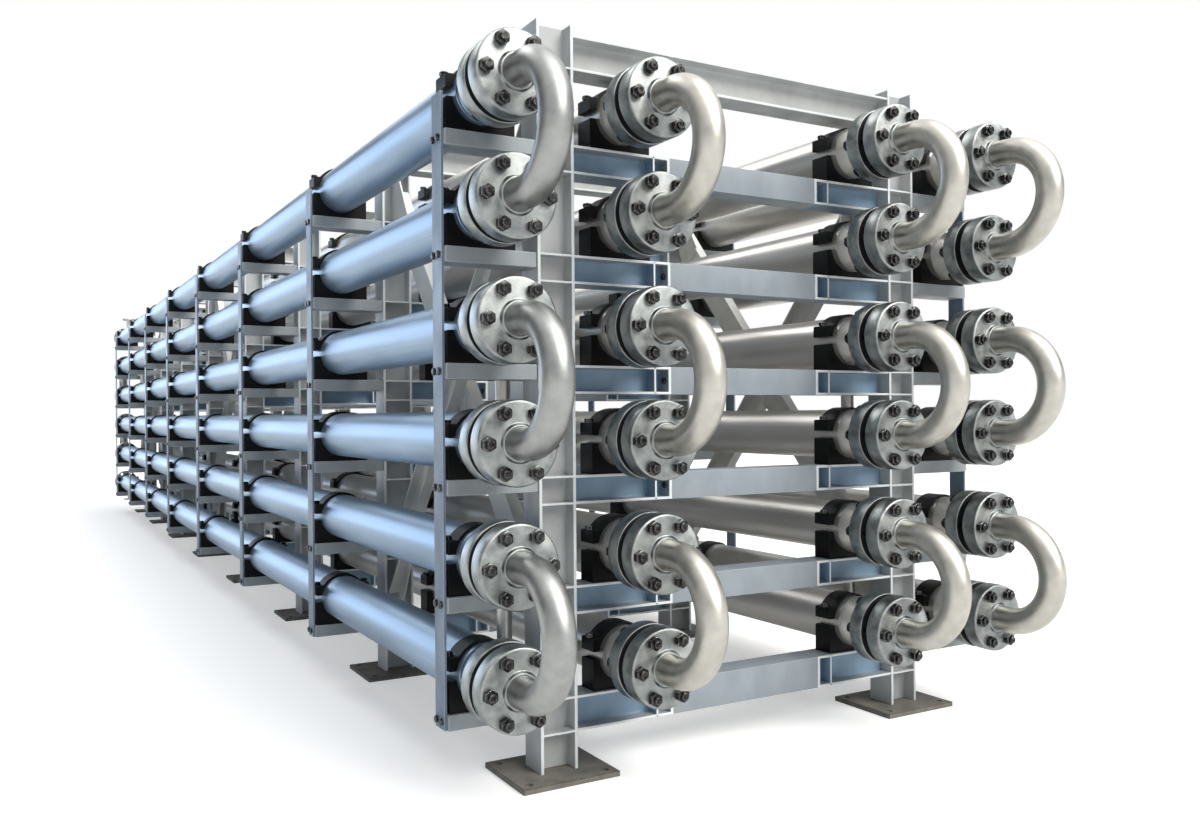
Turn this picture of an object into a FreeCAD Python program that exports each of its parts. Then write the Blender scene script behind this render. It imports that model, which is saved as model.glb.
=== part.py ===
"""Tubular heat exchanger: a rack of double-pipe elements joined by return bends.

Twenty-four straight elements stand in four columns of six rows. Each element is
an inner product tube inside a wider shell. Return bends join the rows of a
column into one long path, and eight portal frames carry the rack.

Millimetres. +Z is up, +Y runs along the tubes away from the near end, the
origin is on the floor in the middle of the rack.
"""
import math
import os

import FreeCAD
import Part

V = FreeCAD.Vector
X_AXIS = V(1, 0, 0)
Y_AXIS = V(0, 1, 0)
Z_AXIS = V(0, 0, 1)

# Rack layout.
ROWS = 6
FRAMES = 8
PITCH = 420.0                    # between rows, and the width of a return bend
BOTTOM_ROW_Z = 430.0             # axis of the lowest row above the floor
BAY = 1830.0                     # between frames
POST_X = 900.0                   # post centre from the middle of the rack

# Pipes.
SHELL_R = 109.55                 # DN200 shell
SHELL_WALL = 8.2
TUBE_R = 57.15                   # DN100 product tube
TUBE_WALL = 8.15
TUBE_BORE_R = TUBE_R - TUBE_WALL
WELD_CLEARANCE = 0.5             # a pipe inside the ring that is welded to it
CROSSOVER_R = 30.15              # DN50 pipe between two shells
CROSSOVER_WALL = 4.0
CROSSOVER_BORE_R = CROSSOVER_R - CROSSOVER_WALL

# Joint at the end of an element, measured outwards from the end frame.
FLANGE_START = 181.0             # back of the tube flange
FLANGE_THICK = 72.0
LENS_GAP = 32.0                  # between the two flanges of a joint
LENS_RIM = 18.85                 # lens ring beyond the tube
LENS_RELIEF = 5.0                # bevel on each side of a lens ring
FLANGE_HOLES = 6
STUD_R = 15.0
STUD_CLEARANCE = 1.5
PORT_CLEARANCE = 2.5             # round the line's studs at the open flanges, which are pulled to fit
STUD_OFFSET = 60.35              # tube's surface to a stud's axis
FLANGE_RIM = 32.5                # stud's axis to the flange's rim
OUTER_ROUND = 10.0               # rim of a flange, on the nuts' side
GAP_ROUND = 4.0                  # rim of a flange, on the gap's side
COLLAR_RIM = 12.85               # low hub beyond the tube
COLLAR_HEIGHT = 12.0
COLLAR_TAPER = 6.0
PORT_STEP = 1.0                  # bore of an open product flange beyond the tube's bore
NUT_FLATS = 46.0
NUT_HEIGHT = 24.0
STUD_TIP = 12.0                  # stud beyond the nut
BEND_TANGENT = 73.0              # straight pipe between flange and bend

STUD_HOLE_R = STUD_R + STUD_CLEARANCE
PORT_HOLE_R = STUD_R + PORT_CLEARANCE
FLANGE_PCD = 2 * (TUBE_R + STUD_OFFSET)
FLANGE_R = FLANGE_PCD / 2 + FLANGE_RIM
COLLAR_R = TUBE_R + COLLAR_RIM
PORT_BORE_R = TUBE_BORE_R + PORT_STEP
LENS_R = TUBE_R + LENS_RIM
BEND_R = PITCH / 2
FLANGE_FACE = FLANGE_START + FLANGE_THICK
LENS_END = FLANGE_FACE + LENS_GAP
BEND_FLANGE_FACE = LENS_END + FLANGE_THICK
BEND_CENTRE = BEND_FLANGE_FACE + BEND_TANGENT
PORT_START = LENS_END            # back of an open product flange, in line with the bends' flanges

# Shell ends.
CONE_START = 78.0                # from the end frame
CONE_END = 166.0
CONE_RIM = 20.85                 # shell's small end beyond the tube
SHELL_END_THICK = 12.0
CONE_R = TUBE_R + CONE_RIM

# Clamps.
CLAMP_LENGTH_Y = 96.0
CLAMP_GAP = 32.0                 # between the halves, where the shell shows
CLAMP_CLEARANCE = 0.4
SADDLE_THICK = 25.45             # under the shell
STRAP_THICK = 11.45
EAR_TOP = 66.0                   # above the tube axis
CLAMP_ROUND = 6.0                # edges of a clamp that run along Y
CLAMP_BOLT_R = 10.0
CLAMP_BOLT_WALL = 3.45           # between the shell and a clamp bolt
CLAMP_EDGE = 3.0                 # outside a clamp bolt
CLAMP_BOLT_FLATS = 30.0
CLAMP_BOLT_HEAD = 15.0
CLAMP_BOLT_DEPTH = 70.0          # threaded hole's end below the tube axis
CLAMP_BOLT_SPARE = 5.0           # thread beyond the bolt's tip
BOLT_CLEARANCE = 0.3

SEAT_DROP = SHELL_R + SADDLE_THICK     # tube axis down to the top of its beam
STRAP_R = SHELL_R + STRAP_THICK
CLAMP_BOLT_X = SHELL_R + CLAMP_BOLT_WALL + CLAMP_BOLT_R
CLAMP_HALF_X = CLAMP_BOLT_X + CLAMP_BOLT_R + CLAMP_EDGE

# Posts and base plates.
POST_DEPTH_X = 156.0
POST_WIDTH_Y = 136.0
POST_FLANGE = 12.0
POST_WEB = 8.0
POST_ROOT = 10.0                 # weld fillet between web and flange
POST_ABOVE_TIE = 35.0
POST_TO_CLAMP = 82.0             # room for the crossover pipes
STIFFENER = 8.0
STIFFENER_CLIP = 16.0            # corner cut off at the post's roots
BASE_X = 400.0
BASE_Y = 350.0
BASE_THICK = 20.0
ANCHOR_EDGE = 40.0               # plate's edge to an anchor
ANCHOR_R = 13.0

# Outer uprights and frame bolts.
UPRIGHT_WIDTH_Y = 90.0
UPRIGHT_THICK = 10.0
CLAMP_TO_UPRIGHT = 9.0
FRAME_BOLT_R = 8.0
FRAME_BOLT_FLATS = 24.0
FRAME_BOLT_HEAD = 10.0
UPRIGHT_BOLT_Y = 24.0
TIE_BOLT_Y = 36.0

# Beams.
BEAM_WIDTH_Y = 130.0
BEAM_DEPTH = 110.0
END_BEAM_DEPTH = 136.0           # lowest beam and top tie
BEAM_FLANGE = 10.0
BEAM_WEB = 7.0
BEAM_ROOT = 9.0
END_PLATE = 12.0
ARM_STUB = 72.0                  # arm beyond its rib
OUTER_ARM_DEPTH = 58.0
OUTER_ARM_WIDTH_Y = 120.0
OUTER_ARM_WALL = 6.0
OUTER_ARM_ROUND = 5.0

# Braces.
BRACED_BAYS = (0, 3, 6)
BRACE_DEPTH = 140.0
BRACE_FLANGE_X = 55.0
BRACE_WALL = 8.0
BRACE_ROOT = 8.0
BRACE_CLEARANCE = 8.0            # between a brace's end and the post
GUSSET = 8.0
GUSSET_LENGTH = 300.0            # along the brace from the post's centre
GUSSET_MARGIN = 20.0             # gusset beyond the edge of the brace
GUSSET_CLEARANCE = 4.0           # between a gusset and the stiffeners

# Shell-side piping.
CROSSOVER_Y = 165.0              # inwards from the end frame
CROSSOVER_REACH = 68.0           # shell surface to the crossover's centre line
CROSSOVER_BEND_R = 50.0
NOZZLE_Y = 200.0
NOZZLE_HEIGHT = 130.0            # shell surface to the flange face
NOZZLE_FLANGE_R = 82.5
NOZZLE_FLANGE_THICK = 18.0
NOZZLE_PCD = 125.0
NOZZLE_HOLES = 4
NOZZLE_FIRST_DEG = 45.0
NOZZLE_HOLE_R = 9.0

# Places that follow from the sizes.
COLUMN_OFFSET = POST_DEPTH_X / 2 + POST_TO_CLAMP + CLAMP_HALF_X
ARM_REACH = COLUMN_OFFSET + CLAMP_HALF_X + CLAMP_TO_UPRIGHT + UPRIGHT_THICK / 2
ARM_STIFFENER_X = POST_X - ARM_REACH
TIE_HALF_X = ARM_STIFFENER_X - ARM_STUB
TOP_TIE_TOP = BOTTOM_ROW_Z + PITCH * ROWS - SEAT_DROP
POST_TOP = TOP_TIE_TOP + POST_ABOVE_TIE
ANCHOR_X = BASE_X - 2 * ANCHOR_EDGE
ANCHOR_Y = BASE_Y - 2 * ANCHOR_EDGE
COLUMN_X = [-POST_X - COLUMN_OFFSET, -POST_X + COLUMN_OFFSET,
            POST_X - COLUMN_OFFSET, POST_X + COLUMN_OFFSET]
RACK_LENGTH = BAY * (FRAMES - 1)
FRAME_Y = [BAY * i - RACK_LENGTH / 2 for i in range(FRAMES)]
END_Y = RACK_LENGTH / 2          # centre of the last frame, from the middle


def row_z(row):
    """Height of a row's axis. Row 1 is the top one."""
    return BOTTOM_ROW_Z + PITCH * (ROWS - row)


def box(x0, x1, y0, y1, z0, z1):
    """A box between two corners."""
    return Part.makeBox(x1 - x0, y1 - y0, z1 - z0, V(x0, y0, z0))


def rod(radius, start, end):
    """A round bar from one point to another."""
    along = end - start
    return Part.makeCylinder(radius, along.Length, start, along)


def ring(outer, inner, start, end):
    """A pipe or ring from one point to another."""
    return rod(outer, start, end).cut(rod(inner, start, end))


def outline(corners):
    """A closed wire through corners: (point, radius). A radius rounds its corner with an arc."""
    cuts = []
    for i, (point, radius) in enumerate(corners):
        before = (corners[i - 1][0] - point).normalize()
        after = (corners[(i + 1) % len(corners)][0] - point).normalize()
        half = before.getAngle(after) / 2
        reach = radius / math.tan(half)
        depth = radius / math.sin(half) - radius
        middle = point + (before + after).normalize() * depth if radius else point
        cuts.append((point + before * reach, middle, point + after * reach))
    edges = []
    for (start, middle, end), following in zip(cuts, cuts[1:] + cuts[:1]):
        if start != end:
            edges.append(Part.Arc(start, middle, end).toShape())
        edges.append(Part.makeLine(end, following[0]))
    return Part.Wire(edges)


def extruded(corners, along):
    """A bar with an outline as its section."""
    return Part.Face(outline(corners)).extrude(along)


def turned(points, axis):
    """A solid turned about an axis through the origin. points: (radius, along, rounding)."""
    across = X_AXIS if axis != X_AXIS else Z_AXIS
    corners = [(across * r + axis * a, rounding) for r, a, rounding in points]
    return Part.Face(outline(corners)).revolve(V(0, 0, 0), axis, 360)


def hexagon(flats, start, height, axis):
    """A hexagonal prism."""
    side = X_AXIS if axis != X_AXIS else Y_AXIS
    other = axis.cross(side)
    corner = flats / math.sqrt(3)
    points = []
    for i in range(6):
        angle = math.radians(60 * i)
        points.append(start + side * (corner * math.cos(angle)) + other * (corner * math.sin(angle)))
    return Part.Face(Part.makePolygon(points + points[:1])).extrude(axis * height)


def moved(shape, x=0.0, y=0.0, z=0.0):
    """A copy of a shape, moved."""
    copy = shape.copy()
    copy.translate(V(x, y, z))
    return copy


def half_turn(shape):
    """A copy turned half round about the vertical through the origin."""
    copy = shape.copy()
    copy.rotate(V(0, 0, 0), Z_AXIS, 180)
    return copy


def mirrored_x(shape):
    """A copy mirrored left to right."""
    return shape.mirror(V(0, 0, 0), X_AXIS)


def circle_points(pcd, count, first_deg=0.0):
    """Hole centres on a circle, as pairs. The first one is at first_deg."""
    turn = 360.0 / count
    angles = [math.radians(first_deg + turn * i) for i in range(count)]
    return [(pcd / 2 * math.cos(a), pcd / 2 * math.sin(a)) for a in angles]


def save(name, solids):
    """Write one sub-part. A group of pieces is kept as separate solids."""
    shape = solids[0] if len(solids) == 1 else Part.makeCompound(solids)
    shape.exportStep("parts/" + name + ".step")


# Double-pipe elements.

def shell_blank():
    """A shell with a cone and an end ring at each end, along Y and centred."""
    end = END_Y + CONE_END
    cone = END_Y + CONE_START
    hole = TUBE_R + WELD_CLEARANCE
    inner_end = end - SHELL_END_THICK
    inner_r = SHELL_R - SHELL_WALL
    inner_small = CONE_R - SHELL_WALL
    near = [(hole, -end, 0), (CONE_R, -end, 0), (SHELL_R, -cone, 0)]
    far = [(SHELL_R, cone, 0), (CONE_R, end, 0), (hole, end, 0)]
    inside = [(hole, inner_end, 0), (inner_small, inner_end, 0), (inner_r, cone, 0),
              (inner_r, -cone, 0), (inner_small, -inner_end, 0), (hole, -inner_end, 0)]
    return turned(near + far + inside, Y_AXIS)


def shell(row):
    """The shell of a row, drilled on its +X side for the crossovers."""
    near = V(0, -END_Y + CROSSOVER_Y, 0)
    far = V(0, END_Y - CROSSOVER_Y, 0)
    port = V(0, END_Y - NOZZLE_Y, 0)
    sideways = X_AXIS * PITCH
    upwards = Z_AXIS * (PITCH if row == 1 else -PITCH)
    body = shell_blank().cut(rod(CROSSOVER_BORE_R, near, near + sideways))
    if 1 < row < ROWS:
        return body.cut(rod(CROSSOVER_BORE_R, far, far + sideways))
    return body.cut(rod(CROSSOVER_BORE_R, port, port + upwards))


def inner_tube(row):
    """A product tube. It ends in the joints, or at an open product flange."""
    near = -(END_Y + FLANGE_FACE)
    far = END_Y + (PORT_START if row in (1, ROWS) else FLANGE_FACE)
    return ring(TUBE_R, TUBE_BORE_R, V(0, near, 0), V(0, far, 0))


def flange(bore_r, hole_r, collar, nuts_at_back):
    """A flange along +Y from its back at zero, with its stud holes."""
    back_round, face_round = (OUTER_ROUND, GAP_ROUND) if nuts_at_back else (GAP_ROUND, OUTER_ROUND)
    points = [(bore_r, 0, 0), (FLANGE_R, 0, back_round), (FLANGE_R, FLANGE_THICK, face_round)]
    if collar:
        points += [(COLLAR_R, FLANGE_THICK, 0), (COLLAR_R - COLLAR_TAPER, FLANGE_THICK + COLLAR_HEIGHT, 0),
                   (bore_r, FLANGE_THICK + COLLAR_HEIGHT, 0)]
    else:
        points += [(bore_r, FLANGE_THICK, 0)]
    body = turned(points, Y_AXIS)
    for x, z in circle_points(FLANGE_PCD, FLANGE_HOLES):
        body = body.cut(rod(hole_r, V(x, 0, z), V(x, FLANGE_THICK, z)))
    return body


def lens_ring():
    """The sealing ring between two tube ends, along +Y from zero."""
    shoulder = (LENS_R + TUBE_BORE_R) / 2
    return turned([(TUBE_BORE_R, 0, 0), (shoulder, 0, 0), (LENS_R, LENS_RELIEF, 0),
                   (LENS_R, LENS_GAP - LENS_RELIEF, 0), (shoulder, LENS_GAP, 0), (TUBE_BORE_R, LENS_GAP, 0)],
                  Y_AXIS)


def return_bend():
    """A U-shaped pipe towards -Y, with its legs half a pitch above and below zero.

    The legs start at the lens rings, so Y is measured from the end frame."""
    start = -LENS_END
    centre = -BEND_CENTRE
    legs = []
    for side in (1, -1):
        z = side * BEND_R
        legs.append(ring(TUBE_R, TUBE_BORE_R, V(0, start, z), V(0, centre, z)))
    outer = Part.Wire(Part.makeCircle(TUBE_R, V(0, centre, BEND_R), Y_AXIS))
    inner = Part.Wire(Part.makeCircle(TUBE_BORE_R, V(0, centre, BEND_R), Y_AXIS))
    section = Part.Face(outer).cut(Part.Face(inner))
    arc = section.revolve(V(0, centre, 0), X_AXIS, 180)
    return legs[0].fuse([legs[1], arc.Solids[0]]).removeSplitter().Solids[0]


def joint_studs():
    """The studs of one flange joint, along Y from the end frame towards -Y."""
    low = FLANGE_START - NUT_HEIGHT - STUD_TIP
    high = BEND_FLANGE_FACE + NUT_HEIGHT + STUD_TIP
    return [rod(STUD_R, V(x, -high, z), V(x, -low, z)) for x, z in circle_points(FLANGE_PCD, FLANGE_HOLES)]


def joint_nuts():
    """The nuts of one flange joint, one on each end of each stud."""
    nuts = []
    for x, z in circle_points(FLANGE_PCD, FLANGE_HOLES):
        for start in (-BEND_FLANGE_FACE - NUT_HEIGHT, -FLANGE_START):
            nut = hexagon(NUT_FLATS, V(x, start, z), NUT_HEIGHT, Y_AXIS)
            nuts.append(nut.cut(rod(STUD_R + BOLT_CLEARANCE, V(x, start, z), V(x, start + NUT_HEIGHT, z))))
    return nuts


# Clamps.

def lower_clamp():
    """The saddle under a tube, with threaded holes for its bolts."""
    half = CLAMP_LENGTH_Y / 2
    top = -CLAMP_GAP / 2
    block = [(V(-CLAMP_HALF_X, -half, -SEAT_DROP), 0), (V(CLAMP_HALF_X, -half, -SEAT_DROP), 0),
             (V(CLAMP_HALF_X, -half, top), CLAMP_ROUND), (V(-CLAMP_HALF_X, -half, top), CLAMP_ROUND)]
    body = extruded(block, Y_AXIS * CLAMP_LENGTH_Y)
    body = body.cut(rod(SHELL_R + CLAMP_CLEARANCE, V(0, -half, 0), V(0, half, 0)))
    for x in (-CLAMP_BOLT_X, CLAMP_BOLT_X):
        body = body.cut(rod(CLAMP_BOLT_R + BOLT_CLEARANCE, V(x, 0, -CLAMP_BOLT_DEPTH), V(x, 0, top)))
    return body


def upper_clamp():
    """The strap over a tube, with an ear on each side."""
    half = CLAMP_LENGTH_Y / 2
    low = CLAMP_GAP / 2
    arch = rod(STRAP_R, V(0, -half, 0), V(0, half, 0))
    above = box(-STRAP_R, STRAP_R, -half, half, low, STRAP_R)
    ears = [(V(-CLAMP_HALF_X, -half, low), 0), (V(CLAMP_HALF_X, -half, low), 0),
            (V(CLAMP_HALF_X, -half, EAR_TOP), CLAMP_ROUND), (V(-CLAMP_HALF_X, -half, EAR_TOP), CLAMP_ROUND)]
    body = arch.common(above).fuse(extruded(ears, Y_AXIS * CLAMP_LENGTH_Y))
    body = body.cut(rod(SHELL_R + CLAMP_CLEARANCE, V(0, -half, 0), V(0, half, 0)))
    for x in (-CLAMP_BOLT_X, CLAMP_BOLT_X):
        body = body.cut(rod(CLAMP_BOLT_R + BOLT_CLEARANCE, V(x, 0, low), V(x, 0, EAR_TOP)))
    return body.removeSplitter()


def clamp_bolt():
    """A bolt through an ear into the saddle."""
    head = hexagon(CLAMP_BOLT_FLATS, V(0, 0, EAR_TOP), CLAMP_BOLT_HEAD, Z_AXIS)
    tip = V(0, 0, CLAMP_BOLT_SPARE - CLAMP_BOLT_DEPTH)
    return head.fuse(rod(CLAMP_BOLT_R, tip, V(0, 0, EAR_TOP)))


# Frames.

def flanged_bar(start, along, wide, deep, flange_thick, web_thick, root):
    """A bar with an H section. wide runs along a flange and deep from flange to flange."""
    tip = wide.Length / 2
    side = V(wide).normalize()
    up = V(deep).normalize()
    web = web_thick / 2
    outside = deep.Length / 2
    inside = outside - flange_thick
    half = [(tip, -outside, 0), (tip, -inside, 0), (web, -inside, root),
            (web, inside, root), (tip, inside, 0), (tip, outside, 0)]
    corners = half + [(-w, -d, rounding) for w, d, rounding in half]
    return extruded([(start + side * w + up * d, rounding) for w, d, rounding in corners], along)


def i_section(x0, x1, top, depth):
    """An I-beam along X, standing upright, with its top at a height."""
    start = V(x0, 0, top - depth / 2)
    return flanged_bar(start, X_AXIS * (x1 - x0), Y_AXIS * BEAM_WIDTH_Y, Z_AXIS * depth,
                       BEAM_FLANGE, BEAM_WEB, BEAM_ROOT)


def beam_depth(row):
    """The lowest beam is deeper than the others."""
    return END_BEAM_DEPTH if row == ROWS else BEAM_DEPTH


def beam_levels():
    """Top and depth of every beam, the top tie first."""
    levels = [(TOP_TIE_TOP, END_BEAM_DEPTH)]
    for row in range(1, ROWS + 1):
        levels.append((row_z(row) - SEAT_DROP, beam_depth(row)))
    return levels


def stiffener():
    """The plate between a post's flanges on the +Y side of its web, its inner corners cut off."""
    inner = POST_DEPTH_X / 2 - POST_FLANGE
    web = POST_WEB / 2
    edge = POST_WIDTH_Y / 2
    clip = STIFFENER_CLIP
    points = [(inner, edge), (-inner, edge), (-inner, web + clip), (-inner + clip, web),
              (inner - clip, web), (inner, web + clip)]
    return extruded([(V(x, y, 0), 0) for x, y in points], Z_AXIS * STIFFENER)


def post():
    """An H-section post with its web across the rack, and stiffeners at the beams.

    The top tie's upper flange has none behind it."""
    foot = V(0, 0, BASE_THICK)
    bar = flanged_bar(foot, Z_AXIS * (POST_TOP - BASE_THICK), Y_AXIS * POST_WIDTH_Y, X_AXIS * POST_DEPTH_X,
                      POST_FLANGE, POST_WEB, POST_ROOT)
    plate = stiffener()
    levels = beam_levels()
    heights = [top - depth for top, depth in levels] + [top - STIFFENER for top, depth in levels[1:]]
    plates = []
    for z in heights:
        plates += [moved(plate, 0, 0, z), moved(half_turn(plate), 0, 0, z)]
    return bar.fuse(plates).removeSplitter()


def base_plate():
    """A base plate with four anchor holes."""
    plate = box(-BASE_X / 2, BASE_X / 2, -BASE_Y / 2, BASE_Y / 2, 0, BASE_THICK)
    for x in (-ANCHOR_X / 2, ANCHOR_X / 2):
        for y in (-ANCHOR_Y / 2, ANCHOR_Y / 2):
            plate = plate.cut(rod(ANCHOR_R, V(x, y, 0), V(x, y, BASE_THICK)))
    return plate


def inner_arm(row):
    """The right-hand arm from the post towards the middle, with its end plate."""
    top = row_z(row) - SEAT_DROP
    depth = beam_depth(row)
    half = BEAM_WIDTH_Y / 2
    post_face = POST_X - POST_DEPTH_X / 2
    arm = i_section(TIE_HALF_X, post_face, top, depth)
    plate = box(TIE_HALF_X, TIE_HALF_X + END_PLATE, -half, half, top - depth, top)
    rib = box(ARM_STIFFENER_X, ARM_STIFFENER_X + STIFFENER, -half, half, top - depth, top)
    arm = arm.fuse([plate, rib])
    for y, z in tie_bolt_places(row):
        hole = rod(FRAME_BOLT_R + BOLT_CLEARANCE, V(TIE_HALF_X, y, z), V(TIE_HALF_X + END_PLATE, y, z))
        arm = arm.cut(hole)
    return arm.removeSplitter()


def tie_bolt_places(row):
    """Where the bolts between an arm and its tie sit, as (y, z)."""
    middle = row_z(row) - SEAT_DROP - beam_depth(row) / 2
    return [(-TIE_BOLT_Y, middle), (TIE_BOLT_Y, middle)]


def tie(row):
    """The channel between the two racks, with its web to the near side."""
    top = row_z(row) - SEAT_DROP
    depth = beam_depth(row)
    half = BEAM_WIDTH_Y / 2
    reach = TIE_HALF_X
    body = box(-reach, reach, -half, half, top - depth, top)
    hollow = box(-reach + END_PLATE, reach - END_PLATE, -half + BEAM_WEB, half,
                 top - depth + BEAM_FLANGE, top - BEAM_FLANGE)
    body = body.cut(hollow)
    for y, z in tie_bolt_places(row):
        body = body.cut(rod(FRAME_BOLT_R + BOLT_CLEARANCE, V(-reach, y, z), V(reach, y, z)))
    return body


def outer_arm(row):
    """The right-hand arm from the post outwards: a box section with end plate."""
    top = row_z(row) - SEAT_DROP
    bottom = top - OUTER_ARM_DEPTH
    half = OUTER_ARM_WIDTH_Y / 2
    start = POST_X + POST_DEPTH_X / 2
    end = POST_X + ARM_REACH - UPRIGHT_THICK / 2
    wall = OUTER_ARM_WALL
    edges = [V(start, -half, bottom), V(start, half, bottom), V(start, half, top), V(start, -half, top)]
    body = extruded([(point, OUTER_ARM_ROUND) for point in edges], X_AXIS * (end - start))
    hollow = box(start, end - END_PLATE, -half + wall, half - wall, bottom + wall, top - wall)
    body = body.cut(hollow)
    z = (top + bottom) / 2
    for y in (-UPRIGHT_BOLT_Y, UPRIGHT_BOLT_Y):
        body = body.cut(rod(FRAME_BOLT_R + BOLT_CLEARANCE, V(end - END_PLATE, y, z), V(end, y, z)))
    return body


def upright():
    """The right-hand flat bar outside the tubes, bolted to the arms."""
    half = UPRIGHT_WIDTH_Y / 2
    x0 = POST_X + ARM_REACH - UPRIGHT_THICK / 2
    x1 = x0 + UPRIGHT_THICK
    bottom = row_z(ROWS) - SEAT_DROP - OUTER_ARM_DEPTH
    bar = box(x0, x1, -half, half, bottom, row_z(1))
    for row in range(1, ROWS + 1):
        z = row_z(row) - SEAT_DROP - OUTER_ARM_DEPTH / 2
        for y in (-UPRIGHT_BOLT_Y, UPRIGHT_BOLT_Y):
            bar = bar.cut(rod(FRAME_BOLT_R + BOLT_CLEARANCE, V(x0, y, z), V(x1, y, z)))
    return bar


def bolt_along_x(x0, x1, y, z):
    """A bolt through plates from x0 to x1, its head outside x1 and its nut inside x0."""
    height = FRAME_BOLT_HEAD
    head = hexagon(FRAME_BOLT_FLATS, V(x1, y, z), height, X_AXIS)
    nut = hexagon(FRAME_BOLT_FLATS, V(x0 - height, y, z), height, X_AXIS)
    shank = rod(FRAME_BOLT_R, V(x0 - height, y, z), V(x1, y, z))
    return shank.fuse([head, nut]).removeSplitter()


def frame_bolts():
    """The right-hand bolts of one frame."""
    bolts = []
    outside = POST_X + ARM_REACH + UPRIGHT_THICK / 2
    inside = outside - UPRIGHT_THICK - END_PLATE
    for row in range(1, ROWS + 1):
        z = row_z(row) - SEAT_DROP - OUTER_ARM_DEPTH / 2
        for y in (-UPRIGHT_BOLT_Y, UPRIGHT_BOLT_Y):
            bolts.append(bolt_along_x(inside, outside, y, z))
        for y, middle in tie_bolt_places(row):
            bolts.append(bolt_along_x(TIE_HALF_X - END_PLATE, TIE_HALF_X + END_PLATE, y, middle))
    return bolts


def brace_space(high):
    """The free height in a post between two beams, where the braces meet it."""
    if high:
        return row_z(1) - SEAT_DROP, TOP_TIE_TOP - END_BEAM_DEPTH
    return row_z(ROWS) - SEAT_DROP, row_z(ROWS - 1) - SEAT_DROP - BEAM_DEPTH


def brace_z(high):
    """Height where the centre line of a brace meets the post's centre."""
    return sum(brace_space(high)) / 2


def brace(rising):
    """A channel across a bay that starts at y = 0, its back on the gusset plane.

    A rising brace goes up towards +Y and has its flanges on the +X side."""
    side = 1 if rising else -1
    start = V(0, 0, brace_z(not rising))
    along = V(0, BAY, brace_z(rising) - start.z)
    length = along.Length
    along.normalize()
    across = X_AXIS.cross(along)
    half = BRACE_DEPTH / 2
    back = side * GUSSET / 2
    tip = side * (GUSSET / 2 + BRACE_FLANGE_X)
    wall = side * BRACE_WALL
    inside = half - BRACE_WALL
    section = [(back, -half, 0), (tip, -half, 0), (tip, -inside, 0), (back + wall, -inside, BRACE_ROOT),
               (back + wall, inside, BRACE_ROOT), (tip, inside, 0), (tip, half, 0), (back, half, 0)]
    channel = extruded([(start + X_AXIS * x + across * a, rounding) for x, a, rounding in section],
                       along * length)
    gap = POST_WIDTH_Y / 2 + BRACE_CLEARANCE
    return channel.common(box(-POST_X, POST_X, gap, BAY - gap, 0, 2 * POST_TOP))


def gusset(high):
    """The plate at one corner of a braced bay, welded to the web of its post."""
    half = GUSSET / 2
    low_edge, high_edge = brace_space(high)
    low_edge += GUSSET_CLEARANCE
    high_edge -= GUSSET_CLEARANCE
    rise = brace_z(True) - brace_z(False)
    along = V(0, BAY, -rise if high else rise).normalize()
    across = X_AXIS.cross(along) * (BRACE_DEPTH / 2 + GUSSET_MARGIN)
    tip = V(-half, 0, brace_z(high)) + along * GUSSET_LENGTH
    web = POST_WEB / 2
    edge = POST_WIDTH_Y / 2 + GUSSET_CLEARANCE
    points = [V(-half, web, low_edge), V(-half, edge, low_edge), tip - across, tip + across,
              V(-half, edge, high_edge), V(-half, web, high_edge)]
    return extruded([(point, 0) for point in points], X_AXIS * GUSSET)


def gussets():
    """The four corner plates of one braced bay and the plate at its crossing."""
    corners = [gusset(False), gusset(True)]
    corners += [moved(half_turn(plate), 0, BAY) for plate in corners]
    middle_z = (brace_z(False) + brace_z(True)) / 2
    size = BRACE_DEPTH / 2 + GUSSET_MARGIN
    half = GUSSET / 2
    crossing = box(-half, half, BAY / 2 - size, BAY / 2 + size, middle_z - size, middle_z + size)
    return corners + [crossing]


# Shell-side piping.

def crossover():
    """A pipe from the +X side of one shell to the shell a pitch below it."""
    reach = SHELL_R + CROSSOVER_REACH
    bend = CROSSOVER_BEND_R
    corner = bend * (1 - math.sqrt(0.5))
    root = SHELL_R - CROSSOVER_R
    start = V(root, 0, 0)
    turn_top = V(reach - bend, 0, 0)
    side_top = V(reach, 0, -bend)
    side_low = V(reach, 0, -PITCH + bend)
    turn_low = V(reach - bend, 0, -PITCH)
    end = V(root, 0, -PITCH)
    path = Part.Wire([Part.makeLine(start, turn_top),
                      Part.Arc(turn_top, V(reach - corner, 0, -corner), side_top).toShape(),
                      Part.makeLine(side_top, side_low),
                      Part.Arc(side_low, V(reach - corner, 0, -PITCH + corner), turn_low).toShape(),
                      Part.makeLine(turn_low, end)])
    outer = path.makePipeShell([Part.Wire(Part.makeCircle(CROSSOVER_R, start, X_AXIS))], True, False)
    inner = path.makePipeShell([Part.Wire(Part.makeCircle(CROSSOVER_BORE_R, start, X_AXIS))], True, False)
    pipe = outer.cut(inner)
    for z in (0, -PITCH):
        pipe = pipe.cut(rod(SHELL_R, V(0, -PITCH, z), V(0, PITCH, z)))
    return pipe.Solids[0]


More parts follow.
